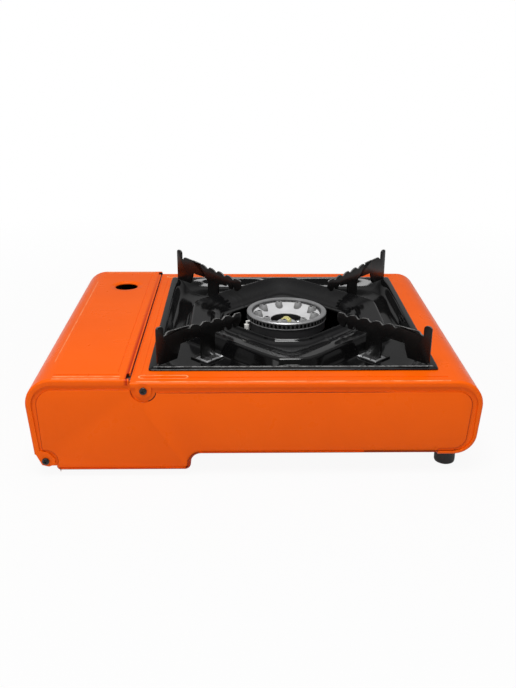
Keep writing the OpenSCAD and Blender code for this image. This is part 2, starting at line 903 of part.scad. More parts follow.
module ignition_wire() {
    n = len(wire_route);
    s = wire_sides;
    stand()
        color("#e8e4da")
            polyhedron(points = [for (i = [0:n - 1]) each wire_ring(i)],
                faces = concat([[for (k = [0:s - 1]) k]],
                    [for (i = [0:n - 2], k = [0:s - 1])
                        [i * s + k, (i + 1) * s + k, (i + 1) * s + (k + 1) % s, i * s + (k + 1) % s]],
                    [[for (k = [s - 1:-1:0]) (n - 1) * s + k]]), convexity = 6);
}

// ---- feet ----
foot_out_x = half_w - 19.5;
deep_foot_x = deep_end_x - 13;
module foot(x, s, top) {
    stand()
        color(rubber)
            translate([x, s * foot_y, 0])
                difference() {
                    rotate_extrude()
                        polygon([[0, 0], [foot_d / 2 - 1.2, 0], [foot_d / 2 - 0.4, 0.5],
                            [foot_d / 2 - 0.1, 1.2], [foot_d / 2, min(2.4, top - 0.8)],
                            [foot_d / 2, top], [0, top]]);
                    translate([0, 0, -1])
                        cylinder(r = 3.2, h = min(3, top / 2) + 1);
                }
}
tall_foot = lip_z - fit_gap;
short_foot = deep_z - 0.05;
module foot_front_left() { foot(-foot_out_x, -1, tall_foot); }
module foot_rear_left() { foot(-foot_out_x, 1, tall_foot); }
module foot_front_right() { foot(deep_foot_x, -1, short_foot); }
module foot_rear_right() { foot(deep_foot_x, 1, short_foot); }

module foot_screws() {
    stand()
        color("silver")
            for (s = [-1, 1]) {
                translate([-foot_out_x, s * foot_y, 1.2])
                    cylinder(r = 3, h = 1.7);
                translate([deep_foot_x, s * foot_y, 0.8])
                    cylinder(r = 3, h = 1.4);
            }
}

// ---- screws ----
screw_shank_r = 1.5;
pivot_shank_r = 1.5;
module rear_screw(x, z, s) {
    along_y(x, z, s * (half_d + fit_gap), s * (half_d + fit_gap + screw_head_h))
        circle(d = screw_head_d);
    along_y(x, z, s * (half_d - 6), s * (half_d + fit_gap + eps))
        circle(r = screw_shank_r);
}

module pivot_screw_front() {
    stand()
        color("#222222")
            rear_screw(pivot_x, pivot_z, -1);
}

module pivot_screw_rear() {
    stand()
        color("#222222")
            rear_screw(pivot_x, pivot_z, 1);
}

module casing_screws() {
    stand()
        color("#222222")
            for (s = [-1, 1])
                rear_screw(casing_screw.x, casing_screw.y, s);
}

// ---- drip tray: pressed sheet, lofted round the burner through one profile per direction ----
rim_half = [tray_w / 2 - 0.8, tray_d / 2 - 0.8];
tray_rim = top_z + 2.2;
moat_z = 70;
pit_z = 74.5;
crest_in = 19.5;

// distance to a rounded octagon: side, end and diagonal half-widths
function octagon_at(a, side, end, diag, p) = pow(pow(abs(cos(a)) / side, p) + pow(abs(sin(a)) / end, p)
    + pow((abs(cos(a)) + abs(sin(a))) / (sqrt(2) * diag), p), -1 / p);
// distance to a rounded rectangle
function box_at(a, inset, p) = pow(pow(abs(cos(a)) / (rim_half.x - inset), p)
    + pow(abs(sin(a)) / (rim_half.y - inset), p), -1 / p);
function crest_at(a, grow) = octagon_at(a, crest_side + grow, crest_end + grow, crest_r + grow, 36);
function hole_at(a, grow) = octagon_at(a, tray_hole + grow + 5.5, tray_hole + grow + 5.5, tray_hole + grow, 24);

// one direction's profile as [distance, height], from the burner hole out to the lip
function tray_profile(a) = let (
    foot_room = box_at(a, 8, 8) - crest_at(a, 2.4),
    low = moat_z + max(0, min(1, (9 - foot_room) / 9)) * (tray_rim - 2 - moat_z),
    crown_r = min(crest_at(a, -0.6), box_at(a, 10.8, 8)),
    brow_r = max(crown_r + 0.7, min(crest_at(a, 1), box_at(a, 9.8, 8))),
    slope_r = max(brow_r + 0.8, min(crest_at(a, 2.2), box_at(a, 8.8, 8))),
    toe_r = max(slope_r + 0.9, min(crest_at(a, 5.2), box_at(a, 7.6, 8))),
    floor_r = max(toe_r + 0.5, min(crest_at(a, 6.8), box_at(a, 7, 8))),
    wall_r = max(floor_r + 0.5, box_at(a, 12.5, 8)))
    [[hole_at(a, 0), pit_z + 3.6], [hole_at(a, 1), pit_z + 3.9], [hole_at(a, 2.2), pit_z + 3.2],
    [hole_at(a, 3.6), pit_z], [crest_at(a, -crest_in - 2), pit_z], [crest_at(a, -crest_in), crest_z - 3.6],
    [crown_r - 2, crest_z - 0.4], [crown_r, crest_z], [brow_r, crest_z - 0.5], [slope_r, crest_z - 2],
    [toe_r, low + 0.4], [floor_r, low], [wall_r, low], [max(wall_r + 0.6, box_at(a, 6, 8)), low + 1.2],
    [box_at(a, 3.2, 12), tray_rim - 0.6], [box_at(a, 2, 60), tray_rim], [box_at(a, 0.4, 90), tray_rim - 0.2],
    [box_at(a, -3.2, 120), top_z + 0.3 + tray_sheet]];
tray_rows = len(tray_profile(0));

// directions from the burner: a fan in the first quarter with lines at the corners of the
// hole, the crest and the rim, then mirrored round the other three quarters
function corner_fan(side, end, diag) = let (cut = diag * sqrt(2)) [atan2(cut - side, side), atan2(end, cut - end)];
hole_corner = corner_fan(tray_hole + 5.5, tray_hole + 5.5, tray_hole);
crest_corner = corner_fan(crest_side, crest_end, crest_r);
rim_corner = atan2(rim_half.y, rim_half.x);
function between(a, b, n) = [for (i = [1:n - 1]) a + (b - a) * i / n];
quarter = concat(between(0, hole_corner[0], 3), [hole_corner[0]], between(hole_corner[0], crest_corner[0], 3),
    [crest_corner[0]], between(crest_corner[0], rim_corner - 0.5, 6), [rim_corner - 0.5, rim_corner, rim_corner + 0.5],
    between(rim_corner + 0.5, hole_corner[1], 8), [hole_corner[1]], between(hole_corner[1], crest_corner[1], 2),
    [crest_corner[1]], between(crest_corner[1], 90, 2));
last = len(quarter) - 1;
tray_angles = concat([0], quarter, [90], [for (i = [last:-1:0]) 180 - quarter[i]], [180],
    [for (q = quarter) 180 + q], [270], [for (i = [last:-1:0]) 360 - quarter[i]]);
tray_steps = len(tray_angles);

module drip_tray() {
    n = tray_rows;
    m = tray_steps;
    top = [for (a = tray_angles) each [for (q = tray_profile(a))
        [q.x * cos(a), q.x * sin(a), q.y]]];
    pts = concat(top, [for (p = top) p - [0, 0, tray_sheet]]);
    low = n * m;
    stand()
        translate([burner_x, tray_y, 0])
            color(enamel)
                polyhedron(points = pts, faces = concat(
                    [for (i = [0:m - 1], k = [0:n - 2]) let (j = (i + 1) % m)
                        [i * n + k, i * n + k + 1, j * n + k + 1, j * n + k]],
                    [for (i = [0:m - 1], k = [0:n - 2]) let (j = (i + 1) % m)
                        [low + i * n + k, low + j * n + k, low + j * n + k + 1, low + i * n + k + 1]],
                    [for (i = [0:m - 1]) let (j = (i + 1) % m) [i * n, j * n, low + j * n, low + i * n]],
                    [for (i = [0:m - 1]) let (j = (i + 1) % m, e = n - 1)
                        [i * n + e, low + i * n + e, low + j * n + e, j * n + e]]), convexity = 10);
}

// ---- pan supports: one plate outline, drawn as (distance from the burner, height) ----
blade_z = 104;
blade_slope = 4.5 / 62;
straight_from = horn_reach - 31;
notch_pitch = (straight_from - tip_reach) / teeth; // 12.3 mm from tooth to tooth
function blade_at(s) = blade_z - max(0, straight_from - s) * blade_slope;
leg_z = tray_rim + 0.1;
inner_leg = [horn_reach - 61.5, horn_reach - 46];

module support_outline() {
    difference() {
        union() {
            // blade
            polygon(concat(arc([tip_reach + 2, blade_at(tip_reach) - 2], 2, 180, 100, 4),
                [[straight_from, blade_z], [horn_reach - 12.5, blade_z + 1], [horn_reach - 11, blade_z + 0.7],
                [horn_reach - 9, blade_z - 1.2], [horn_reach - 7, blade_z - 1.6], [horn_reach, blade_z - 1.6],
                [horn_reach, 90.5], [horn_reach - 46, 88], [tip_reach + 4.5, 88], [tip_reach, 92]]));
            // horn with its rounded top
            polygon(concat([[horn_reach - 7, blade_z - 4], [horn_reach, blade_z - 4]],
                arc([horn_reach - 2.4, horn_z - 2.4], 2.4, 0, 90, 6), arc([horn_reach - 4, horn_z - 3], 3, 90, 180, 6)));
            // outer and inner legs
            polygon([[horn_reach - 26, 95], [horn_reach, 95], [horn_reach, leg_z], [horn_reach - 20, leg_z]]);
            polygon([[inner_leg[0], 92], [inner_leg[1], 92], [inner_leg[1], moat_z + 1.3],
                [inner_leg[0], moat_z + 1.3]]);
        }
        // notches between the teeth: steep towards the burner, rounded off outwards
        for (i = [0:teeth - 1])
            let (s = straight_from - 2.2 - i * notch_pitch)
                polygon([for (q = [[6.5, 0.02], [4.6, -0.15], [2.6, -0.42], [1, -0.85], [0, -1], [-1.2, -0.8],
                    [-3.3, 0.02]]) [s + q.x, blade_at(s + q.x) + q.y * tooth_depth]]);
        // arched window between the legs
        translate([inner_leg[1] + 5, 86.5])
            circle(r = 5);
        polygon([[inner_leg[1] + 3.6, 91.2], [horn_reach - 24, 91.4], [horn_reach - 20.6, leg_z - 2],
            [inner_leg[1], leg_z - 2], [inner_leg[1], 86.5]]);
        // relief under the blade and the split tip
        translate([tip_reach + 18, 84])
            square([inner_leg[0] - tip_reach - 18, 5.5]);
        translate([inner_leg[0] - 3, 86.5])
            square([3, 3.6]);
        polygon([[tip_reach + 7.5, 87], [tip_reach + 10.2, 93], [tip_reach + 12.2, 87]]);
        polygon([[tip_reach + 15, 87], [tip_reach + 17.5, 91.5], [tip_reach + 20, 91.5], [tip_reach + 20, 87]]);
    }
}

// unit direction from the burner to a corner of the tray
support_run = unit([102.8, 109.8]);
module support(sx, sy) {
    a = atan2(sy * support_run.y, sx * support_run.x);
    at_burner()
        rotate(a)
            color(enamel) {
                translate([0, plate_t / 2, 0])
                    rotate([90, 0, 0])
                        linear_extrude(plate_t)
                            support_outline();
                // welded foot on the tray's floor
                translate([inner_leg[0] + 2, -sx * sy * 5 - 5, moat_z + 0.1])
                    cube([inner_leg[1] - inner_leg[0], 10, 1.2]);
            }
}
module support_front_left() { support(-1, -1); }
module support_front_right() { support(1, -1); }
module support_rear_left() { support(-1, 1); }
module support_rear_right() { support(1, 1); }

module support_rivets() {
    at_burner()
        color("#e2e2e2")
            for (sx = [-1, 1], sy = [-1, 1])
                rotate(atan2(sy * support_run.y, sx * support_run.x))
                    translate([(inner_leg[0] + inner_leg[1]) / 2 - 3, -sx * sy * 5.6, moat_z + 1.3])
                        cylinder(r1 = 2.6, r2 = 1.8, h = 1.1);
}

// ---- knob, shaft and dial ----
shaft_r = 3;
module control_shaft() {
    stand()
        color("#c9a64a")
            along_y(knob_x, knob_z, -half_d - 12, reg_y + 9)
                circle(r = shaft_r);
}

module control_knob() {
    y0 = -half_d - 1.8;
    y1 = -knob_front;
    stand()
        color("#1d1d1e")
            difference() {
                union() {
                    along_y(knob_x, knob_z, y0 - 4, y0)
                        circle(d = knob_d);
                    along_y(knob_x, knob_z, y0 - 5, y0 - 4 + eps)
                        circle(d = knob_d - 2);
                    along_y(knob_x, knob_z, y1 + 1, y0 - 5 + eps)
                        circle(d = knob_d - 14);
                    along_y(knob_x, knob_z, y1, y1 + 1 + eps)
                        circle(d = knob_d - 16);
                    translate([knob_x - 4, y1, knob_z - knob_d / 2 + 4])
                        cube([8, knob_reach - 6, knob_d - 8]);
                }
                along_y(knob_x, knob_z, -half_d - 12.2, y0 + 1)
                    circle(r = shaft_r);
            }
}

module dial_plate() {
    stand()
        color("#c8c9ca")
            difference() {
                along_y(knob_x, knob_z, -half_d - 0.9, -field_y)
                    circle(d = knob_d + 6);
                along_y(knob_x, knob_z, -half_d - 2, -half_d + 2)
                    circle(r = shaft_r + 2);
                // the lever's slot stays clear of the dial
                translate([0, -half_d - 2, 0])
                    cube([lever_x + lever_slot_w / 2 + 3, 4, top_z]);
            }
}

// ---- cartridge lock lever ----
lever_slot_w = 7;
lever_tab_h = 5;
lever_hi = 46;
lever_pin = [-half_d + 30, lever_hi - lever_travel / 2 + lever_tab_h / 2];
link_h = 22;
module lever_pivot_pin() {
    stand()
        color("silver")
            union() {
                translate([lever_x - 8, lever_pin.x, lever_pin.y])
                    rotate([0, 90, 0])
                        cylinder(r = 2, h = 11);
                translate([lever_x - 8, lever_pin.x - 5, pan_top])
                    cube([2, 10, lever_pin.y - pan_top + 4]);
                translate([lever_x - 8, lever_pin.x - 5, pan_top])
                    cube([6, 10, 1.5]);
            }
}

module lock_lever() {
    arm = 2.5;
    stand()
        color("#202122")
            difference() {
                union() {
                    // finger tab in front of the panel
                    translate([lever_x - 9, -half_d - 12, lever_hi])
                        cube([14, 11, lever_tab_h]);
                    translate([lever_x - arm / 2, -half_d - 8, lever_hi])
                        cube([arm, lever_pin.x + half_d + 8, lever_tab_h]);
                    translate([lever_x - arm / 2, lever_pin.x - 3, lever_pin.y])
                        cube([arm, 6, link_h]);
                    translate([lever_x, lever_pin.x, lever_pin.y])
                        rotate([0, 90, 0])
                            cylinder(r = 5, h = arm, center = true);
                }
                translate([lever_x, lever_pin.x, lever_pin.y])
                    rotate([0, 90, 0])
                        cylinder(r = 2.08, h = arm + 4, center = true);
            }
}

// ---- cartridge pusher ----
// the pusher slides forward and presses the cartridge's valve onto the inlet
inlet_face = reg_y + reg_l + 5.2;
pusher_y = inlet_face + can_l + push_travel + 0.5;
rod_x = wall_x + 3;
rod_z = lever_pin.y + link_h - 5;
link_front = lever_pin.x - 3.6;
module cartridge_pusher() {
    foot = pan_top + 3 + run_gap;
    stand()
        color(zinc)
            union() {
                difference() {
                    translate([can_x, pusher_y + 1.5, can_z])
                        rotate([90, 0, 0])
                            cylinder(d = 46, h = 1.5);
                    translate([can_x, pusher_y + 2, can_z])
                        rotate([90, 0, 0])
                            cylinder(d = 18, h = 3);
                }
                translate([can_x - 14, pusher_y, foot])
                    cube([28, 1.5, can_z - 16 - foot]);
                translate([can_x - 28, pusher_y, foot])
                    cube([56, 18, 1.2]);
                // pull rod along the partition to the lever
                translate([rod_x, pusher_y, rod_z])
                    cube([can_x - 14 - rod_x, 1.5, 4]);
                translate([rod_x, link_front - 3, rod_z])
                    cube([2.5, pusher_y + 1.5 - link_front + 3, 4]);
                translate([lever_x - 3, link_front - 3, rod_z])
                    cube([rod_x - lever_x + 3.5, 3, 4]);
            }
}

base_pan();
top_casing();
bay_partition();
cartridge_cradle();
heat_plate();
regulator_body();
regulator_cover();
regulator_screws();
cartridge_inlet();
inlet_gasket();
collar_guide();
gas_jet();
mixing_tube();
air_shutter();
burner_stand();
burner_cup();
burner_head();
burner_nut();
burner_screws();
igniter_electrode();
electrode_bracket();
piezo_igniter();
ignition_wire();
dial_plate();
lever_pivot_pin();
pusher_rail();
foot_front_left();
foot_front_right();
foot_rear_left();
foot_rear_right();
foot_screws();
pivot_screw_front();
pivot_screw_rear();
casing_screws();
lid();
lid_bumpers();
drip_tray();
support_front_left();
support_front_right();
support_rear_left();
support_rear_right();
support_rivets();
control_knob();
control_shaft();
lock_lever();
cartridge_pusher();
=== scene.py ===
import math
import bpy
from types import SimpleNamespace
from mathutils import Matrix, Vector


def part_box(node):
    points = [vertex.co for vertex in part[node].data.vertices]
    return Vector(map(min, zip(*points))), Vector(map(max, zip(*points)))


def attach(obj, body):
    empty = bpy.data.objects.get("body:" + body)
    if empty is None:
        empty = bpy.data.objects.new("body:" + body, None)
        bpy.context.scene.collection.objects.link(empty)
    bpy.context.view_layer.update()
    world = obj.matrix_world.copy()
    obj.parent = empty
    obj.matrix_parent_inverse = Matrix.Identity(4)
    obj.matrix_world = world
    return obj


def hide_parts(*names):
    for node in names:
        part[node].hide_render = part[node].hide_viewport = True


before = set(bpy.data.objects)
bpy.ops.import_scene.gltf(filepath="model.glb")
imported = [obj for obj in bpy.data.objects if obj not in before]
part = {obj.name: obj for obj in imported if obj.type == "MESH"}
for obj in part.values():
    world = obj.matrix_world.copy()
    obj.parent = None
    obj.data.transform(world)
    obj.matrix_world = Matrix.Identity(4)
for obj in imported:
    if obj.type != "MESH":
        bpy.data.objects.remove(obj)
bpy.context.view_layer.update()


# ---- Camera ----
# A standard lens, a little above the stove and behind it, looking along the
# long side of the burner tray towards the front.
def turn_about(axis, degrees):
    return Matrix.Rotation(math.radians(degrees), 4, axis)


eye_place = (0.0087, 0.694, 0.32805)
heading, tilt, roll = 178.9, 68.14, 0.26
eye = bpy.data.objects.new("eye", bpy.data.cameras.new("eye"))
bpy.context.scene.collection.objects.link(eye)
eye.data.lens = 43.0
eye.data.sensor_width = 36.0
eye.data.clip_start = 0.01
eye.matrix_world = (
    Matrix.Translation(eye_place) @ turn_about("Z", heading) @ turn_about("X", tilt) @ turn_about("Z", roll)
)
bpy.context.scene.camera = eye


# ---- Floor and light ----
# A pale table top that runs out of sight, a wide soft lamp above, a soft lamp
# from the left of the rear, and a white surround.

# A value that varies over a surface. Each step of a sum adds a node to its tree.
# Of two masks, * keeps what is in both and | keeps what is in either.
class Value:
    def __init__(self, socket):
        self.socket = socket
        self.tree = socket.id_data

    def __add__(self, other):
        return reckon("ADD", self, other)

    def __sub__(self, other):
        return reckon("SUBTRACT", self, other)

    def __rsub__(self, other):
        return reckon("SUBTRACT", other, self)

    def __mul__(self, other):
        return reckon("MULTIPLY", self, other)

    def __pow__(self, other):
        return reckon("POWER", self, other)

    def __abs__(self):
        return reckon("ABSOLUTE", self)

    def __lt__(self, other):
        return reckon("LESS_THAN", self, other)

    def __gt__(self, other):
        return reckon("GREATER_THAN", self, other)

    def __or__(self, other):
        return reckon("MAXIMUM", self, other)


# A socket gets a varying value by a link, and a plain number or colour as its own.
def put(socket, value):
    if isinstance(value, Value):
        value.tree.links.new(value.socket, socket)
    elif socket.type == "RGBA":
        socket.default_value = (*value, 1.0)
    else:
        socket.default_value = value


def reckon(kind, *values):
    tree = next(value.tree for value in values if isinstance(value, Value))
    step = tree.nodes.new("ShaderNodeMath")
    step.operation = kind
    for socket, value in zip(step.inputs, values):
        put(socket, value)
    return Value(step.outputs[0])


# What runs from low to high comes out as to_low to to_high, and stays within them.
def ranged(value, low, high, to_low=0.0, to_high=1.0):
    step = value.tree.nodes.new("ShaderNodeMapRange")
    ends = {"Value": value, "From Min": low, "From Max": high, "To Min": to_low, "To Max": to_high}
    for label, end in ends.items():
        put(step.inputs[label], end)
    return Value(step.outputs["Result"])


def noise(place, scale, detail=2.0, rough=0.5):
    step = place.tree.nodes.new("ShaderNodeTexNoise")
    for label, value in {"Vector": place, "Scale": scale, "Detail": detail, "Roughness": rough}.items():
        put(step.inputs[label], value)
    return Value(step.outputs["Fac"])


def split(place):
    step = place.tree.nodes.new("ShaderNodeSeparateXYZ")
    put(step.inputs[0], place)
    return [Value(socket) for socket in step.outputs]


def vector_step(kind, *values):
    step = values[0].tree.nodes.new("ShaderNodeVectorMath")
    step.operation = kind
    for socket, value in zip(step.inputs, values):
        put(socket, value)
    return step.outputs


def clear_nodes(owner):
    owner.use_nodes = True
    owner.node_tree.nodes.clear()
    return owner.node_tree.nodes


def show(nodes, kind, shader):
    put(nodes.new("ShaderNodeOutput" + kind).inputs["Surface"], Value(shader.outputs[0]))


def select_only(*pieces):
    bpy.ops.object.select_all(action="DESELECT")
    for piece in pieces:
        piece.select_set(True)
    if pieces:
        bpy.context.view_layer.objects.active = pieces[0]


white = (1.0, 1.0, 1.0)
table_size = 8
select_only()
bpy.ops.mesh.primitive_plane_add(size=table_size, location=(0, 0, 0))
table = bpy.context.object
table.name = "table_top"
bpy.ops.object.mode_set(mode="EDIT")
bpy.ops.mesh.subdivide(number_cuts=7)
bpy.ops.object.mode_set(mode="OBJECT")
pale = bpy.data.materials.new("pale_table")
nodes = clear_nodes(pale)
place = Value(nodes.new("ShaderNodeTexCoord").outputs["Object"])
matt = nodes.new("ShaderNodeBsdfPrincipled")
put(matt.inputs["Base Color"], ranged(noise(place, 3.0), 0.0, 1.0, 0.6, 0.64))
put(matt.inputs["Roughness"], 0.9)
put(matt.inputs["Specular IOR Level"], 0.1)
glow = nodes.new("ShaderNodeEmission")
put(glow.inputs["Color"], white)
# The table glows where it is seen, a little less near the stove, so that its shade shows.
near, far = 0.22, 0.8
ray = nodes.new("ShaderNodeLightPath").outputs
seen = Value(ray["Is Camera Ray"]) | Value(ray["Is Glossy Ray"]) * 0.5
from_stove = Value(vector_step("LENGTH", place)["Value"])
glowing = seen * ranged(from_stove, near, far, 0.93, 1.0)
both = nodes.new("ShaderNodeMixShader")
for socket, value in zip(both.inputs, (glowing, Value(matt.outputs[0]), Value(glow.outputs[0]))):
    put(socket, value)
show(nodes, "Material", both)
table.data.materials.append(pale)

# The surround is a light tent, open and dark low down beyond the stove's front.
# Seen straight or through something it is plain white.
surround = bpy.data.worlds.new("white_surround")
bpy.context.scene.world = surround
nodes = clear_nodes(surround)
ray = nodes.new("ShaderNodeLightPath").outputs
_, towards, up = split(Value(nodes.new("ShaderNodeTexCoord").outputs["Generated"]))
beyond = nodes.new("ShaderNodeValToRGB")
for stop, level in ((0.2, 0.28), (0.4, 0.24), (0.5, 0.07), (0.74, 0.35)):
    beyond.color_ramp.elements.new(stop).color = (level, level, level, 1)
beyond.color_ramp.elements[0].color = (0.3, 0.3, 0.3, 1)
beyond.color_ramp.elements[-1].color = (0.7, 0.7, 0.7, 1)
put(beyond.inputs["Fac"], up)
behind = ranged(Value(ray["Is Glossy Ray"]), 0.0, 1.0, ranged(up, 0.0, 0.6, 0.5, 0.35), 0.14)
tent = ranged(towards, -0.2, 0.5, Value(beyond.outputs["Color"]), behind)
straight = Value(ray["Is Camera Ray"]) | Value(ray["Is Transmission Ray"])
sky = nodes.new("ShaderNodeBackground")
put(sky.inputs["Color"], white)
put(sky.inputs["Strength"], ranged(straight, 0.0, 1.0, tent, 1.0))
show(nodes, "World", sky)

aim = Vector((0, 0, 0.05))
for name, spot, wide, watts in (
    ("lamp_above", (0.1, 0.5, 1.4), 0.7, 16),
    ("lamp_left", (0.9, 0.85, 0.5), 0.6, 1.6),
):
    lamp = bpy.data.objects.new(name, bpy.data.lights.new(name, "AREA"))
    bpy.context.scene.collection.objects.link(lamp)
    lamp.data.shape = "SQUARE"
    lamp.data.size = wide
    lamp.data.energy = watts
    lamp.location = spot
    lamp.rotation_euler = (aim - Vector(spot)).to_track_quat("-Z", "Y").to_euler()
bpy.context.scene.view_settings.view_transform = "Standard"


# ---- Base pan ----
# One pressed steel sheet: two floors with a step between them and the two
# raised end walls. Sprayed with gloss orange powder paint and baked.

# A skin is a node group. Each label that it takes is a kind of socket, or the
# number or vector that holds where a finish says nothing.
def new_skin(name, **takes):
    skin = bpy.data.node_groups.new(name, "ShaderNodeTree")
    for label, start in takes.items():
        kind = start if isinstance(start, str) else "Float" if isinstance(start, float) else "Vector"
        socket = skin.interface.new_socket(label, in_out="INPUT", socket_type="NodeSocket" + kind)
        if start != kind:
            socket.default_value = start
    sockets = skin.nodes.new("NodeGroupInput").outputs
    return skin, SimpleNamespace(**{label: Value(sockets[label]) for label in takes})


def give(skin, **results):
    for label in results:
        kind = "Color" if label == "Colour" else "Float"
        skin.interface.new_socket(label, in_out="OUTPUT", socket_type="NodeSocket" + kind)
    out = skin.nodes.new("NodeGroupOutput")
    for label, value in results.items():
        put(out.inputs[label], value)


# A skin inside another gets all that the outer one is given and that it can take.
def nest(skin, given):
    film = given.Place.tree.nodes.new("ShaderNodeGroup")
    film.node_tree = skin
    for label, value in vars(given).items():
        if label in film.inputs:
            put(film.inputs[label], value)
    return SimpleNamespace(**{socket.name: Value(socket) for socket in film.outputs})


def mix(share, one, two):
    step = share.tree.nodes.new("ShaderNodeMix")
    step.data_type = "RGBA"
    for socket, value in ((step.inputs[0], share), (step.inputs[6], one), (step.inputs[7], two)):
        put(socket, value)
    return Value(step.outputs[2])


# Baked paint: slow drift of the tone, the orange peel of the sprayed film, and
# dust that dulls the gloss in specks.
paint_film, given = new_skin(
    "paint_film", Place="Vector", Colour="Color", Shade="Color", Gloss=0.2, Peel=420.0, Dust=0.3,
)
drift = ranged(noise(given.Place, 14.0, 3.0), 0.35, 0.75)
dusty = ranged(noise(given.Place, 1900.0, 1.0), 0.66, 0.74) * given.Dust
smear = ranged(noise(given.Place, 55.0, 4.0), 0.3, 0.8, 0.0, 0.09)
dust_colour = (0.5, 0.45, 0.4)
give(
    paint_film,
    Colour=mix(dusty * 0.12, mix(drift, given.Colour, given.Shade), dust_colour),
    Roughness=given.Gloss + smear + dusty * 0.25,
    Height=noise(given.Place, given.Peel, 1.5),
)


def finish(name, skin, metal=0.0, bump=0.02, sheen=0.5, relief=0.0002, **values):
    mat = bpy.data.materials.new(name)
    nodes = clear_nodes(mat)
    place = nodes.new("ShaderNodeTexCoord").outputs
    film = nodes.new("ShaderNodeGroup")
    film.node_tree = skin
    put(film.inputs["Place"], Value(place["Object"]))
    if "Facing" in film.inputs:
        put(film.inputs["Facing"], Value(place["Normal"]))
    for label, value in values.items():
        put(film.inputs[label], value)
    swell = nodes.new("ShaderNodeBump")
    put(swell.inputs["Strength"], bump)
    put(swell.inputs["Distance"], relief)
    put(swell.inputs["Height"], Value(film.outputs["Height"]))
    body = nodes.new("ShaderNodeBsdfPrincipled")
    put(body.inputs["Metallic"], metal)
    put(body.inputs["Specular IOR Level"], sheen)
    put(body.inputs["Base Color"], Value(film.outputs["Colour"]))
    put(body.inputs["Roughness"], Value(film.outputs["Roughness"]))
    if "Metallic" in film.outputs:
        put(body.inputs["Metallic"], Value(film.outputs["Metallic"]))
    put(body.inputs["Normal"], Value(swell.outputs["Normal"]))
    show(nodes, "Material", body)
    return mat


def dress(mat, *names):
    for name in names:
        part[name].data.materials[0] = mat


# The middle of a node's box, to a tenth of a millimetre.
def middle(node):
    return [round((low + high) / 2, 4) for low, high in zip(*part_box(node))]


# The pan's inside is painted near-black, as shade: the floors' upper side and
# the inward faces of the end walls, the step and the lip. The rounded edge of
# the end walls' pressed field is painted a darker orange, as shade.
pan_film, given = new_skin(
    "pan_film", Place="Vector", Facing="Vector", Colour="Color", Shade="Color", Gloss=0.2,
)
film = nest(paint_film, given)
_, mid_y, _ = middle("base_pan")
wall_inside, step_x = 0.1347, 0.11
px, py, _ = split(given.Place)
nx, ny, nz = split(given.Facing)
# A face looks inward where its direction times its place is below zero, by a margin.
looks_in = -0.01
from_wall = wall_inside - abs(py - mid_y)
on_floor = (nz > 0.4) * (from_wall > 0.0)
inward = ny * (py - mid_y) < looks_in
stepped = nx * (px - step_x) < looks_in
# Painted shade: the inside faces are coloured near-black.
inside_painted_shade = on_floor | inward | stepped
rounded = ranged(abs(ny), 0.86, 0.993, 1.0, 0.0) * (from_wall < 0.0)
shaded = rounded * ranged(nz, 0.2, 0.7, 0.95, 0.25)
shaded_orange = (0.32, 0.012, 0.0005)
painted_shade_black = (0.012, 0.0105, 0.01)
give(
    pan_film,
    Colour=mix(inside_painted_shade, mix(shaded, film.Colour, shaded_orange), painted_shade_black),
    Roughness=film.Roughness | inside_painted_shade * 0.6,
    Height=film.Height,
)
orange_coat = {"Colour": (0.93, 0.122, 0.0015), "Shade": (0.88, 0.112, 0.0015), "Gloss": 0.26, "sheen": 0.12}
pan_paint = finish("pan_paint", pan_film, bump=0.25, relief=0.00006, **orange_coat)


def copy_of(node, name, flat=True):
    piece = part[node].copy()
    piece.data = part[node].data.copy()
    piece.name = name
    piece.parent = None
    for key in list(piece.keys()):
        del piece[key]
    bpy.context.scene.collection.objects.link(piece)
    select_only(piece)
    if piece.data.has_custom_normals:
        bpy.ops.mesh.customdata_custom_splitnormals_clear()
    bpy.ops.object.mode_set(mode="EDIT")
    bpy.ops.mesh.select_all(action="SELECT")
    bpy.ops.mesh.remove_doubles(threshold=0.000005)
    if flat:
        bpy.ops.mesh.dissolve_limited(angle_limit=math.radians(1))
    bpy.ops.object.mode_set(mode="OBJECT")
    return piece


# Edges are rounded where two faces meet at an angle, or only those in a group.
def rub_edges(piece, width, segments=2, least=35, smooth=30, group="", clamp=False):
    select_only(piece)
    rub = piece.modifiers.new("rub", "BEVEL")
    rub.width = width
    rub.segments = segments
    rub.limit_method = "VGROUP" if group else "ANGLE"
    rub.vertex_group = group
    rub.angle_limit = math.radians(least)
    rub.use_clamp_overlap = clamp
    bpy.ops.object.modifier_apply(modifier="rub")
    bpy.ops.object.shade_smooth_by_angle(angle=math.radians(smooth))


def settle(piece, mat, body, node):
    piece.data.materials.clear()
    piece.data.materials.append(mat)
    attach(piece, body)
    if node:
        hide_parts(node)


# The pressed field of each end wall has a rounded edge.
field_stands = 0.13615
pan = copy_of("base_pan", "pressed_pan")
edge = pan.vertex_groups.new(name="field_edge")
outer = [point.index for point in pan.data.vertices if abs(point.co.y - mid_y) > field_stands]
edge.add(outer, 1.0, "REPLACE")
rub_edges(pan, 0.0007, 3, smooth=35, group="field_edge")
settle(pan, pan_paint, "stove", "base_pan")


# ---- Feet ----
# Four moulded rubber feet, tall under the shallow floor and thin under the
# deep one, each held by a screw up through its hollow.

# Moulded rubber and plastic: a spark-eroded grain and dust in its pits.
moulded_skin, given = new_skin(
    "moulded_skin", Place="Vector", Colour="Color", Pale="Color", Grain=2600.0, Dull=0.5, Dust=0.3,
)
grain = noise(given.Place, given.Grain)
pits = ranged(grain, 0.35, 0.55, 1.0, 0.0)
cloud = ranged(noise(given.Place, 70.0, 4.0), 0.45, 0.8)
give(
    moulded_skin,
    Colour=mix(pits * cloud * given.Dust, given.Colour, given.Pale),
    Roughness=given.Dull + ranged(grain, 0.3, 0.7, 0.1, -0.06),
    Height=grain,
)
rubber = finish(
    "black_rubber", moulded_skin, bump=0.3,
    Colour=(0.012, 0.012, 0.012), Pale=(0.1, 0.095, 0.09), Dull=0.5, Dust=0.5,
)
dress(rubber, "foot_front_left", "foot_front_right", "foot_rear_left", "foot_rear_right")


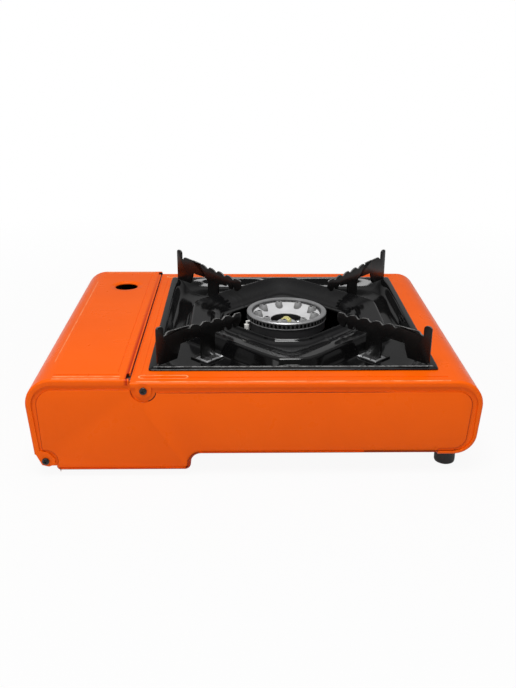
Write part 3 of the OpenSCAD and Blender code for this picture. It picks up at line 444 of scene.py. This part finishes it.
# ---- Screws ----
# Bright zinc screws of the feet, the regulator and the burner head, with cross
# recesses. The heads are turned, the recess is struck.

# Plated or rolled metal: the sheen runs in faint rolled streaks, with stains.
metal_skin, given = new_skin(
    "metal_skin", Place="Vector", Colour="Color", Stain="Color", Streak=(1.0, 1.0, 1.0), Polish=0.3, Age=0.3,
)
streaked = Value(vector_step("MULTIPLY", given.Place, given.Streak)["Vector"])
lines = noise(streaked, 900.0, 3.0, 0.6)
aged = ranged(noise(given.Place, 48.0, 5.0, 0.6), 0.42, 0.78) * given.Age
give(
    metal_skin,
    Colour=mix(aged, given.Colour, given.Stain),
    Roughness=given.Polish + ranged(lines, 0.3, 0.7, -0.05, 0.1) + aged * 0.25,
    Height=lines,
)
bright = finish(
    "bright_zinc", metal_skin, metal=1.0, bump=0.06,
    Colour=(0.72, 0.73, 0.74), Stain=(0.42, 0.4, 0.37), Polish=0.24, Age=0.3,
)


# Faces that look up, or down with way = -1, are picked for the next step.
def pick_flat(piece, way=1):
    for face in piece.data.polygons:
        face.select = face.normal.z * way > 0.9
    bpy.ops.object.mode_set(mode="EDIT")
    bpy.ops.mesh.select_mode(type="FACE")


# What repeats is modelled once, copied to each placing and joined to one mesh.
def set_out(piece, placings, name):
    pieces = [piece]
    for _ in placings[1:]:
        twin = piece.copy()
        twin.data = piece.data.copy()
        bpy.context.scene.collection.objects.link(twin)
        pieces.append(twin)
    for twin, placing in zip(pieces, placings):
        twin.data.transform(placing)
    select_only(*pieces)
    if len(pieces) > 1:
        bpy.ops.object.join()
    piece.name = name


# A screw's size is its head's radius and height, its shank's radius, and its reach.
def cross_screws(name, node, mat, size, placings):
    head_r, head_h, shank_r, reach = size
    select_only()
    bpy.ops.mesh.primitive_cylinder_add(
        vertices=32, radius=head_r, depth=head_h * 0.6, location=(0, 0, head_h * 0.3),
    )
    screw = bpy.context.object
    bpy.ops.object.transform_apply(location=True, rotation=False, scale=False)
    pick_flat(screw, -1)
    bpy.ops.mesh.inset(thickness=head_r - shank_r)
    bpy.ops.mesh.extrude_region_move(TRANSFORM_OT_translate={"value": (0, 0, -reach)})
    bpy.ops.object.mode_set(mode="OBJECT")
    pick_flat(screw)
    for inset, lift in ((0.1, 0.18), (0.16, 0.13), (0.22, 0.09)):
        bpy.ops.mesh.inset(thickness=head_r * inset)
        bpy.ops.transform.translate(value=(0, 0, head_h * lift))
    bpy.ops.object.mode_set(mode="OBJECT")
    for angle in (20, 110):
        bpy.ops.mesh.primitive_cube_add(
            size=1, location=(0, 0, head_h), rotation=(0, 0, math.radians(angle)),
            scale=(head_r * 1.15, head_r * 0.27, head_h * 1.1),
        )
        punch = bpy.context.object
        recess = screw.modifiers.new("recess", "BOOLEAN")
        recess.object = punch
        select_only(screw)
        bpy.ops.object.modifier_apply(modifier="recess")
        bpy.data.objects.remove(punch)
    bpy.ops.object.shade_smooth_by_angle(angle=math.radians(40))
    set_out(screw, placings, name)
    settle(screw, mat, "stove", node)


to_front, to_back, to_floor = (turn_about("X", angle) for angle in (90, -90, 180))
foot_screw = (0.003, 0.0014, 0.0015, 0.0004)
placings = []
for side, seat_z in (("left", 0.0026), ("right", 0.0022)):
    for end in ("front", "rear"):
        foot_x, foot_y, _ = middle("foot_" + end + "_" + side)
        placings.append(Matrix.Translation((foot_x, foot_y, seat_z)) @ to_floor)
cross_screws("foot_cross_screws", "foot_screws", bright, foot_screw, placings)

cover_x, _, cover_z = middle("regulator_screws")
cover_seat, aside = -0.113, 0.01273
cover_screw = (0.0026, 0.0018, 0.0012, 0.0002)
placings = [
    Matrix.Translation((cover_x + aside * i, cover_seat, cover_z + aside * k)) @ to_front
    for i in (-1, 1) for k in (-1, 1)
]
cross_screws("cover_cross_screws", "regulator_screws", bright, cover_screw, placings)

# The burner's ring is fitted three degrees round, with its hub's screws and its posts.
burner_x, burner_y, _ = middle("burner_nut")
fitted = math.radians(3)
hub_seat, hub_screw_out = 0.0742, 0.0106
hub_screw = (0.0022, 0.0018, 0.0012, 0.0002)
placings = [
    Matrix.Translation((burner_x + out * math.cos(fitted), burner_y + out * math.sin(fitted), hub_seat))
    for out in (-hub_screw_out, hub_screw_out)
]
cross_screws("hub_cross_screws", "burner_screws", bright, hub_screw, placings)


# ---- Cartridge bay ----
# Zinc-plated sheet: the partition, the cradle under the cartridge, the rails,
# the pusher and the guide for the cartridge's collar. The plate that warms the
# cartridge is rolled aluminium.
zinc = finish(
    "zinc_plate", metal_skin, metal=1.0, bump=0.08,
    Colour=(0.6, 0.61, 0.62), Stain=(0.4, 0.39, 0.36), Streak=(0.06, 1.0, 1.0), Polish=0.32, Age=0.45,
)
dress(
    zinc, "bay_partition", "cartridge_cradle", "collar_guide", "pusher_rail", "cartridge_pusher",
    "burner_stand", "electrode_bracket", "air_shutter", "lever_pivot_pin",
)
warm = finish(
    "rolled_aluminium", metal_skin, metal=1.0, bump=0.1,
    Colour=(0.75, 0.76, 0.77), Stain=(0.5, 0.47, 0.44), Streak=(1.0, 1.0, 0.05), Polish=0.3, Age=0.5,
)
dress(warm, "heat_plate")


# ---- Regulator and gas way ----
# A die-cast regulator with a round cover, a turned brass inlet with its
# gasket, a brass jet and a drawn steel mixing tube.

# Cast metal: a fine sandy skin with darker hollows.
cast_skin, given = new_skin(
    "cast_skin", Place="Vector", Colour="Color", Dark="Color", Sand=1500.0, Polish=0.4,
)
sand = noise(given.Place, given.Sand, 3.0, 0.6)
flow = ranged(noise(given.Place, 60.0, 3.0), 0.35, 0.75)
give(
    cast_skin,
    Colour=mix(flow * 0.4, given.Colour, given.Dark),
    Roughness=given.Polish + ranged(sand, 0.3, 0.7, -0.06, 0.12),
    Height=sand,
)
die_cast = finish(
    "die_cast_zinc", cast_skin, metal=1.0, bump=0.2,
    Colour=(0.6, 0.6, 0.6), Dark=(0.4, 0.4, 0.41), Polish=0.42,
)
dress(die_cast, "regulator_body", "regulator_cover")
brass = finish(
    "turned_brass", metal_skin, metal=1.0, bump=0.06,
    Colour=(0.83, 0.63, 0.27), Stain=(0.5, 0.34, 0.14), Streak=(1.0, 0.05, 1.0), Polish=0.22, Age=0.35,
)
dress(brass, "cartridge_inlet", "gas_jet", "control_shaft")
dress(rubber, "inlet_gasket")
drawn = finish(
    "drawn_tube", metal_skin, metal=1.0, bump=0.08,
    Colour=(0.5, 0.5, 0.51), Stain=(0.3, 0.27, 0.25), Polish=0.35, Age=0.5,
)
dress(drawn, "mixing_tube")


# ---- Burner ----
# A heat-proof black cup carries the die-cast aluminium ring: flame ports round
# its side, a bowl with ribs inside it, and a brass nut that holds it down.
cup_coat = finish(
    "stove_black", paint_film, bump=0.4, relief=0.0001,
    Colour=(0.035, 0.035, 0.037), Shade=(0.02, 0.02, 0.021), Gloss=0.45, Dust=0.5,
)
dress(cup_coat, "burner_cup")


def grey(level):
    return (level, level, level * 1.01)


def hypotenuse(one, two):
    return reckon("SQRT", one ** 2.0 + two ** 2.0)


# A point's distance from the burner's axis and its height, then its way from the
# line that the nearest of the nine posts stands on: across it and along it.
def round_burner(given):
    px, py, pz = split(given.Place)
    rx, ry = px - burner_x, py - burner_y
    out_by = hypotenuse(rx, ry)
    half_step = math.radians(20)
    turn = reckon("WRAP", reckon("ARCTAN2", ry, rx) - fitted, half_step, -half_step)
    return out_by, pz, out_by * reckon("SINE", turn), out_by * reckon("COSINE", turn)


# The ring's colours by place, with the burner's axis as centre: turned rim,
# shot-blasted bowl, posts, step, port band and throat. Painted shade: the posts
# darken towards their feet, and their blind holes, the throat and the flame
# ports are near-black. The step is a darker grey and the port band dark grey.
ring_skin, given = new_skin("ring_skin", Place="Vector")
out_by, height, across, along = round_burner(given)
post_line, hole_line, blind_r = 0.0265, 0.0004, 0.00095
post_foot_z, post_foot_r, post_tip_z, post_tip_r = 0.077, 0.0044, 0.086, 0.0023
hub_r, throat_r, step_r, rim_r, side_r, ports_r = 0.0131, 0.0141, 0.0293, 0.0306, 0.031, 0.0348
hub_z, ports_z, side_z, rim_z, step_z = 0.0738, 0.0807, 0.0847, 0.0848, 0.0857
cloud = ranged(noise(given.Place, 90.0, 4.0), 0.35, 0.7)
tint = mix(cloud * 0.5, grey(0.6), grey(0.47))
along = along - post_line
post_r = ranged(height, post_foot_z, post_tip_z, post_foot_r, post_tip_r)
on_post = ranged(hypotenuse(across, along) - post_r, 0.0001, 0.00025, 1.0, 0.0)
# Painted shade: each post is darker towards its foot.
tint = mix(on_post, tint, ranged(height, 0.0775, 0.083, 0.055, 0.2))
# Painted shade: each post's blind hole is near-black.
tint = mix(hypotenuse(across, along - hole_line) < blind_r, tint, grey(0.004))
bridge = (height > hub_z) * (out_by < hub_r)
# Painted shade: the throat below the hub's top is near-black.
tint = mix(out_by < throat_r, tint, mix(bridge, grey(0.018), grey(0.36)))
tint = mix((out_by > step_r) * (height < step_z), tint, grey(0.085))
rim = (out_by > rim_r) * (height > rim_z)
tint = mix(rim, tint, mix(cloud, grey(0.5), grey(0.4)))
# Painted shade: the flame ports are near-black.
band = mix(height < ports_z, mix(out_by > ports_r, grey(0.002), grey(0.055)), grey(0.3))
sand = noise(given.Place, 1700.0, 3.0, 0.6)
turned_lines = noise(out_by, 9000.0, 1.0)
give(
    ring_skin,
    Colour=mix((out_by > side_r) * (height < side_z), tint, band),
    Roughness=ranged(sand, 0.3, 0.7, 0.38, 0.52),
    Height=mix(rim, sand, turned_lines),
    Metallic=rim * 0.75,
)
ring = finish("cast_aluminium", ring_skin, bump=0.15, sheen=0.4)
dress(ring, "burner_head")

pale_brass = finish(
    "pale_brass", metal_skin, metal=0.5, bump=0.06,
    Colour=(0.95, 0.88, 0.36), Stain=(0.75, 0.62, 0.22), Polish=0.25, Age=0.3,
)
nut = copy_of("burner_nut", "hub_nut")
rub_edges(nut, 0.0004)
settle(nut, pale_brass, "stove", "burner_nut")

# Nine tapered posts stand up the bowl's wall, each with a blind hole in its top.
post_out, post_mid_z, post_h = 0.0243, 0.0819, 0.0072
foot_r, top_r = 0.0040, 0.0024
chamfer, crown, hole_wall, hole_depth = 0.0004, 0.0003, 0.0009, 0.003
select_only()
bpy.ops.mesh.primitive_cone_add(
    vertices=32, radius1=foot_r, radius2=top_r, depth=post_h, location=(post_out, 0, post_mid_z),
)
post = bpy.context.object
bpy.ops.object.transform_apply(location=True, rotation=False, scale=False)
pick_flat(post)
bpy.ops.mesh.inset(thickness=chamfer)
bpy.ops.transform.translate(value=(0, 0, crown))
bpy.ops.mesh.inset(thickness=hole_wall)
bpy.ops.mesh.extrude_region_move(TRANSFORM_OT_translate={"value": (0, 0, -hole_depth)})
bpy.ops.object.mode_set(mode="OBJECT")
bpy.ops.object.shade_smooth_by_angle(angle=math.radians(45))
burner_axis = Matrix.Translation((burner_x, burner_y, 0))
set_out(post, [burner_axis @ turn_about("Z", 3 + 40 * place) for place in range(9)], "bowl_posts")

# The posts are painted darker towards their feet and their holes near-black: painted shade.
post_skin, given = new_skin("post_skin", Place="Vector")
_, height, across, along = round_burner(given)
blind_r = 0.0012
hole = hypotenuse(across, along - post_out) < blind_r
sand = noise(given.Place, 1700.0, 3.0, 0.6)
# Painted shade: darker towards each post's foot, its hole near-black.
give(
    post_skin,
    Colour=mix(hole, ranged(height, 0.0785, 0.084, 0.075, 0.24), grey(0.003)),
    Roughness=ranged(sand, 0.3, 0.7, 0.42, 0.58),
    Height=sand,
)
settle(post, finish("shaded_post_cast", post_skin, bump=0.15, sheen=0.4), "stove", None)


# ---- Igniter ----
# A white glazed ceramic electrode in a clip, its silicone lead, and the
# moulded piezo block behind the knob.
glaze = finish(
    "white_glaze", paint_film, bump=0.05,
    Colour=(0.86, 0.85, 0.82), Shade=(0.8, 0.78, 0.74), Gloss=0.12, Dust=0.2,
)
dress(glaze, "igniter_electrode")
block = finish(
    "piezo_block", moulded_skin, bump=0.15,
    Colour=(0.03, 0.032, 0.036), Pale=(0.12, 0.12, 0.12), Dull=0.4, Dust=0.3,
)
dress(block, "piezo_igniter")
sleeve = finish(
    "silicone_sleeve", moulded_skin, bump=0.1,
    Colour=(0.75, 0.73, 0.68), Pale=(0.6, 0.57, 0.52), Dull=0.45, Dust=0.4,
)
dress(sleeve, "ignition_wire")


# ---- Front controls ----
# A moulded knob on a brass shaft, a thin dial plate behind it, and a black
# painted steel lever that locks the cartridge.

# The knob's skirt is ribbed for grip and a white line on its bar points to the dial.
knob_skin, given = new_skin(
    "knob_skin", Place="Vector", Facing="Vector", Colour="Color", Pale="Color", Dull=0.4, Dust=0.3,
)
film = nest(moulded_skin, given)
knob_x, _, knob_z = middle("control_knob")
line_half, line_starts = 0.0006, 0.006
ribs = 48.0
px, _, pz = split(given.Place)
_, ny, _ = split(given.Facing)
kx, kz = px - knob_x, pz - knob_z
on_line = (abs(kx) < line_half) * (ny < -0.5) * (kz > line_starts)
rib = reckon("SINE", reckon("ARCTAN2", kz, kx) * ribs)
skirt = abs(ny) < 0.5
line_white = (0.8, 0.79, 0.76)
give(
    knob_skin,
    Colour=mix(on_line, film.Colour, line_white),
    Roughness=film.Roughness,
    Height=film.Height * 0.1 + rib * skirt,
)
moulding = finish(
    "black_moulding", knob_skin, bump=0.8, relief=0.0003,
    Colour=(0.014, 0.014, 0.015), Pale=(0.09, 0.09, 0.09), Dull=0.38, Dust=0.3,
)
knob = copy_of("control_knob", "ribbed_knob")
rub_edges(knob, 0.0006, 3)
settle(knob, moulding, "control_knob", "control_knob")

lever_coat = finish(
    "lever_black_paint", paint_film, bump=0.25, relief=0.00006,
    Colour=(0.016, 0.016, 0.017), Shade=(0.012, 0.012, 0.013), Gloss=0.3, Dust=0.4,
)
lever = copy_of("lock_lever", "painted_lever")
rub_edges(lever, 0.0005, 3)
settle(lever, lever_coat, "lock_lever", "lock_lever")

# The dial's scale is printed: a tick every ten degrees of the knob's turn, and
# the word OFF on the pan's front wall, beside the scale's start.
dial_print, given = new_skin(
    "dial_print", Place="Vector", Colour="Color", Stain="Color", Streak=(1.0, 1.0, 1.0), Polish=0.3, Age=0.3,
)
film = nest(metal_skin, given)
half_gap, tick_half = 5.0, 1.2
first, last = -3.0, 113.0
scale_in, scale_out = 0.0226, 0.0244
px, _, pz = split(given.Place)
kx, kz = knob_x - px, pz - knob_z
out_by = hypotenuse(kx, kz)
swing = reckon("ARCTAN2", kx, kz) * (180 / math.pi)
tick = abs(reckon("WRAP", swing, half_gap, -half_gap)) < tick_half
span = (swing > first) * (swing < last)
printed = tick * span * ((out_by > scale_in) * (out_by < scale_out))
give(
    dial_print,
    Colour=mix(printed, film.Colour, (0.02, 0.02, 0.02)),
    Roughness=film.Roughness + printed * 0.3,
    Height=film.Height,
    Metallic=1.0 - printed,
)
dial = finish(
    "dial_steel", dial_print, bump=0.08,
    Colour=(0.68, 0.69, 0.7), Stain=(0.5, 0.48, 0.46), Streak=(0.04, 1.0, 1.0), Polish=0.3, Age=0.2,
)
dress(dial, "dial_plate")
word_place = (0.1135, -0.12655, 0.0662)
letter_h, ink = 0.0048, 0.00008
select_only()
bpy.ops.object.text_add(location=word_place, rotation=(math.radians(90), 0, 0))
word = bpy.context.object
word.data.body = "OFF"
word.data.align_x = "CENTER"
word.data.size = letter_h
word.data.extrude = ink
word.data.resolution_u = 4
bpy.ops.object.convert(target="MESH")
word = bpy.context.object
word.name = "dial_word"
bpy.ops.object.transform_apply(location=True, rotation=True, scale=True)
printing = finish(
    "printed_black", paint_film, bump=0.1, relief=0.00006,
    Colour=(0.02, 0.02, 0.02), Shade=(0.03, 0.028, 0.026), Gloss=0.35, Dust=0.4,
)
settle(word, printing, "stove", None)


# ---- Top casing ----
# The top plate, wrapped round the left side, with a flange at each end and
# the square opening for the tray. Same orange paint as the pan.

# Low beads are pressed along both ends of the top sheets and in a long loop near
# the split. A broken highlight is painted on them, and on the lid's bend. The
# sheets' edges at the split are painted a deeper red, as shade. The lid is
# dished round its finger hole.
sheet_film, given = new_skin(
    "sheet_film", Place="Vector", Facing="Vector", Colour="Color", Shade="Color", Gloss=0.2,
)
film = nest(paint_film, given)
split_x, split_half, lid_from, plain_by_split = 0.0925, 0.0014, 0.0935, 0.006
edge_from, edge_to = 0.0945, 0.0968
bead_in, bead_out = 0.1304, 0.1343
top_mid_x, top_half = 0.0023, 0.1467
loop_x, loop_half, loop_y, loop_r = 0.0682, 0.0155, 0.1256, 0.0026
bend_x, bend_half = 0.1532, 0.102
hole_x, hole_y, hole_r, dish_r = 0.123, -0.077, 0.0108, 0.0158
px, py, _ = split(given.Place)
nx, _, nz = split(given.Facing)
from_mid = abs(py - mid_y)


def bead(where, half):
    return ranged(abs(from_mid - where), half, half * 0.4, 0.0, 1.0)


on_lid = px > lid_from
loop = hypotenuse((abs(px - loop_x) - loop_half) | 0.0, from_mid - loop_y) - loop_r
loop = ranged(abs(loop), 0.0008, 0.0003, 0.0, 1.0)
beads = bead(bead_in, 0.0009) * on_lid | bead(bead_out, 0.0008) | loop
beads = beads * (abs(px - top_mid_x) < top_half) * (abs(px - lid_from) > plain_by_split)
bend = ranged(abs(px - bend_x), 0.0008, 0.0002, 0.0, 0.5) * (from_mid < bend_half)
beads = (beads | bend) * (nz > 0.9)
# Painted highlight: the beads and the lid's bend are lighter, in dashes.
bead_highlight_dashes = ranged(noise(given.Place, 110.0, 3.0), 0.36, 0.6, 0.3, 1.0)
# Painted shade: the turned edges and the lid's edge at the split are a deeper red.
turned = (abs(px - split_x) < split_half) * ranged(abs(nx), 0.3, 0.7)
edge = ranged(px, edge_from, edge_to, 0.85, 0.0) * on_lid * ranged(py, -0.13, 0.05, 0.3, 1.0)
dish = ranged(hypotenuse(px - hole_x, py - hole_y), hole_r, dish_r)
painted_highlight_orange = (1.0, 0.42, 0.17)
painted_shade_red = (0.42, 0.012, 0.001)
give(
    sheet_film,
    Colour=mix(turned | edge, mix(beads * bead_highlight_dashes, film.Colour, painted_highlight_orange), painted_shade_red),
    Roughness=film.Roughness,
    Height=dish + film.Height * 0.012 + beads * 0.25,
)
sheet_paint = finish("sheet_paint", sheet_film, bump=1.0, relief=0.0012, **orange_coat)
dress(sheet_paint, "top_casing")

# Blackened pan-head screws hold the casing to the pan's ears and are the lid's pivots.
black_screw = finish(
    "blackened_screw", metal_skin, metal=0.2, bump=0.05,
    Colour=(0.012, 0.012, 0.013), Stain=(0.035, 0.032, 0.03), Polish=0.3, Age=0.4,
)
front_seat, rear_seat = -0.1267, 0.1467
pan_head = (0.00275, 0.0018, 0.0015, 0.006)
casing_x, _, casing_z = middle("casing_screws")
pivot_x, _, pivot_z = middle("pivot_screw_rear")
ear_front = Matrix.Translation((casing_x, front_seat, casing_z)) @ to_front
ear_rear = Matrix.Translation((casing_x, rear_seat, casing_z)) @ to_back
pivot_front = Matrix.Translation((pivot_x, front_seat, pivot_z)) @ to_front
pivot_rear = Matrix.Translation((pivot_x, rear_seat, pivot_z)) @ to_back
for name, node, placings in (
    ("casing_cross_screws", "casing_screws", [ear_front, ear_rear]),
    ("pivot_cross_screw_front", "pivot_screw_front", [pivot_front]),
    ("pivot_cross_screw_rear", "pivot_screw_rear", [pivot_rear]),
):
    cross_screws(name, node, black_screw, pan_head, placings)


# ---- Lid ----
# The cartridge lid turns on two screws low on the right. Two rubber stops
# under it keep it off the partition.
dress(sheet_paint, "lid")
dress(rubber, "lid_bumpers")


# ---- Drip tray ----
# Deep-drawn steel with glossy black vitreous enamel. The sheet is one skin,
# so a merged and smoothed copy stands for the faceted solid.

# A broken grey highlight is painted in a line just inside the front and rear
# lips, and along the upward top edges of the supports' blades.
enamel_film, given = new_skin(
    "enamel_film",
    Place="Vector", Facing="Vector", Colour="Color", Shade="Color", Gloss=0.2, Peel=420.0, Dust=0.3,
)
film = nest(paint_film, given)
tray_x, tray_y, _ = middle("drip_tray")
side_wall, end_wall, past_side = 0.1093, 0.1168, -0.003
line_in, line_half, line_soft = 0.0034, 0.0013, 0.0005
lip_z, blade_z = 0.082, 0.095
px, py, pz = split(given.Place)
_, _, nz = split(given.Facing)
past_x = abs(px - tray_x) - side_wall
past_y = abs(py - tray_y) - end_wall
# Painted highlight: a dashed grey line just inside the front and rear lips.
lip = ranged(abs(past_y + line_in), line_half, line_soft, 0.0, 0.65) * (pz < lip_z) * (past_x < past_side)
lip_dashes = ranged(noise(given.Place, 380.0, 4.0, 0.7), 0.32, 0.58)
# Painted highlight: the blades' upward top edges, in dashes.
blade = (nz > 0.45) * (pz > blade_z)
blade_dashes = ranged(noise(given.Place, 130.0, 3.0), 0.3, 0.6, 0.25, 1.0)
enamel_highlight = lip * lip_dashes | blade * (blade_dashes * 0.45)
highlight_grey = (0.36, 0.355, 0.35)
give(
    enamel_film,
    Colour=mix(enamel_highlight, film.Colour, highlight_grey),
    Roughness=film.Roughness + enamel_highlight * 0.3,
    Height=film.Height,
)
enamel = finish(
    "black_enamel", enamel_film, bump=0.05, relief=0.0001, sheen=0.4,
    Colour=(0.004, 0.004, 0.0045), Shade=(0.003, 0.003, 0.003), Gloss=0.07, Peel=160.0, Dust=0.4,
)
rim_top = 0.08295
tray = copy_of("drip_tray", "enamelled_tray", flat=False)
bpy.ops.object.mode_set(mode="EDIT")
bpy.ops.mesh.select_all(action="SELECT")
bpy.ops.mesh.tris_convert_to_quads(face_threshold=math.pi, shape_threshold=math.pi)
bpy.ops.mesh.select_all(action="DESELECT")
bpy.ops.object.mode_set(mode="OBJECT")
for point in tray.data.vertices:
    point.select = point.co.z > rim_top
bpy.ops.object.mode_set(mode="EDIT")
bpy.ops.mesh.select_mode(type="VERT")
bpy.ops.transform.edge_crease(value=0.8)
bpy.ops.object.mode_set(mode="OBJECT")
soften = tray.modifiers.new("soften", "SUBSURF")
soften.levels = soften.render_levels = 2
bpy.ops.object.modifier_apply(modifier="soften")
bpy.ops.object.shade_smooth()
settle(tray, enamel, "drip_tray", "drip_tray")


# ---- Pan supports ----
# Four blanked steel plates stand in the corners of the tray and carry the pan
# on their teeth. Dipped in black heat-proof enamel.
support_coat = finish(
    "support_enamel", enamel_film, bump=0.35, relief=0.00008, sheen=0.25,
    Colour=(0.008, 0.0075, 0.0075), Shade=(0.005, 0.005, 0.005), Gloss=0.26, Peel=600.0, Dust=0.5,
)
for corner in ("front_left", "front_right", "rear_left", "rear_right"):
    plate = copy_of("support_" + corner, "toothed_plate_" + corner)
    rub_edges(plate, 0.0003)
    settle(plate, support_coat, "drip_tray", "support_" + corner)

# Each plate's foot is held by a crimped saddle, spot-welded to the tray's floor
# and enamelled thinly, so that the steel shines through.
saddle_size, saddle_z = (0.0185, 0.0135, 0.0011), 0.0007
fold_places = (0.0035, -0.0045)
select_only()
bpy.ops.mesh.primitive_cube_add(size=1, location=(0, 0, saddle_z), scale=saddle_size)
saddle = bpy.context.object
bpy.ops.object.transform_apply(location=True, rotation=False, scale=True)
bpy.ops.object.mode_set(mode="EDIT")
bpy.ops.mesh.select_mode(type="FACE")
for fold in fold_places:
    bpy.ops.mesh.select_all(action="SELECT")
    bpy.ops.mesh.bisect(plane_co=(fold, 0, 0), plane_no=(1, 0, 0))
bpy.ops.object.mode_set(mode="OBJECT")
pick_flat(saddle)
for inset, lift in ((0.0011, 0.0009), (0.0014, -0.0006)):
    bpy.ops.mesh.inset(thickness=inset, use_individual=True)
    bpy.ops.transform.translate(value=(0, 0, lift))
bpy.ops.object.mode_set(mode="OBJECT")
rub_edges(saddle, 0.0004, 3, least=25, smooth=50, clamp=True)

# The plates stand on the lines from the burner's axis to the tray's corners.
corner_x, corner_y = 0.1028, 0.1098
saddle_out, saddle_aside, floor_z = 0.0978, 0.0018, 0.0702
tray_floor = Matrix.Translation((burner_x, burner_y, floor_z))
placings = []
for right in (-1, 1):
    for back in (-1, 1):
        to_corner = Matrix.Rotation(math.atan2(back * corner_y, right * corner_x), 4, "Z")
        outward = Matrix.Translation((saddle_out, right * back * saddle_aside, 0))
        placings.append(tray_floor @ to_corner @ outward)
set_out(saddle, placings, "crimped_saddles")
crimped = finish(
    "thinly_enamelled_steel", metal_skin, metal=0.95, bump=0.5,
    Colour=(0.75, 0.75, 0.76), Stain=(0.01, 0.01, 0.01), Polish=0.08, Age=1.0,
)
settle(saddle, crimped, "drip_tray", "support_rivets")
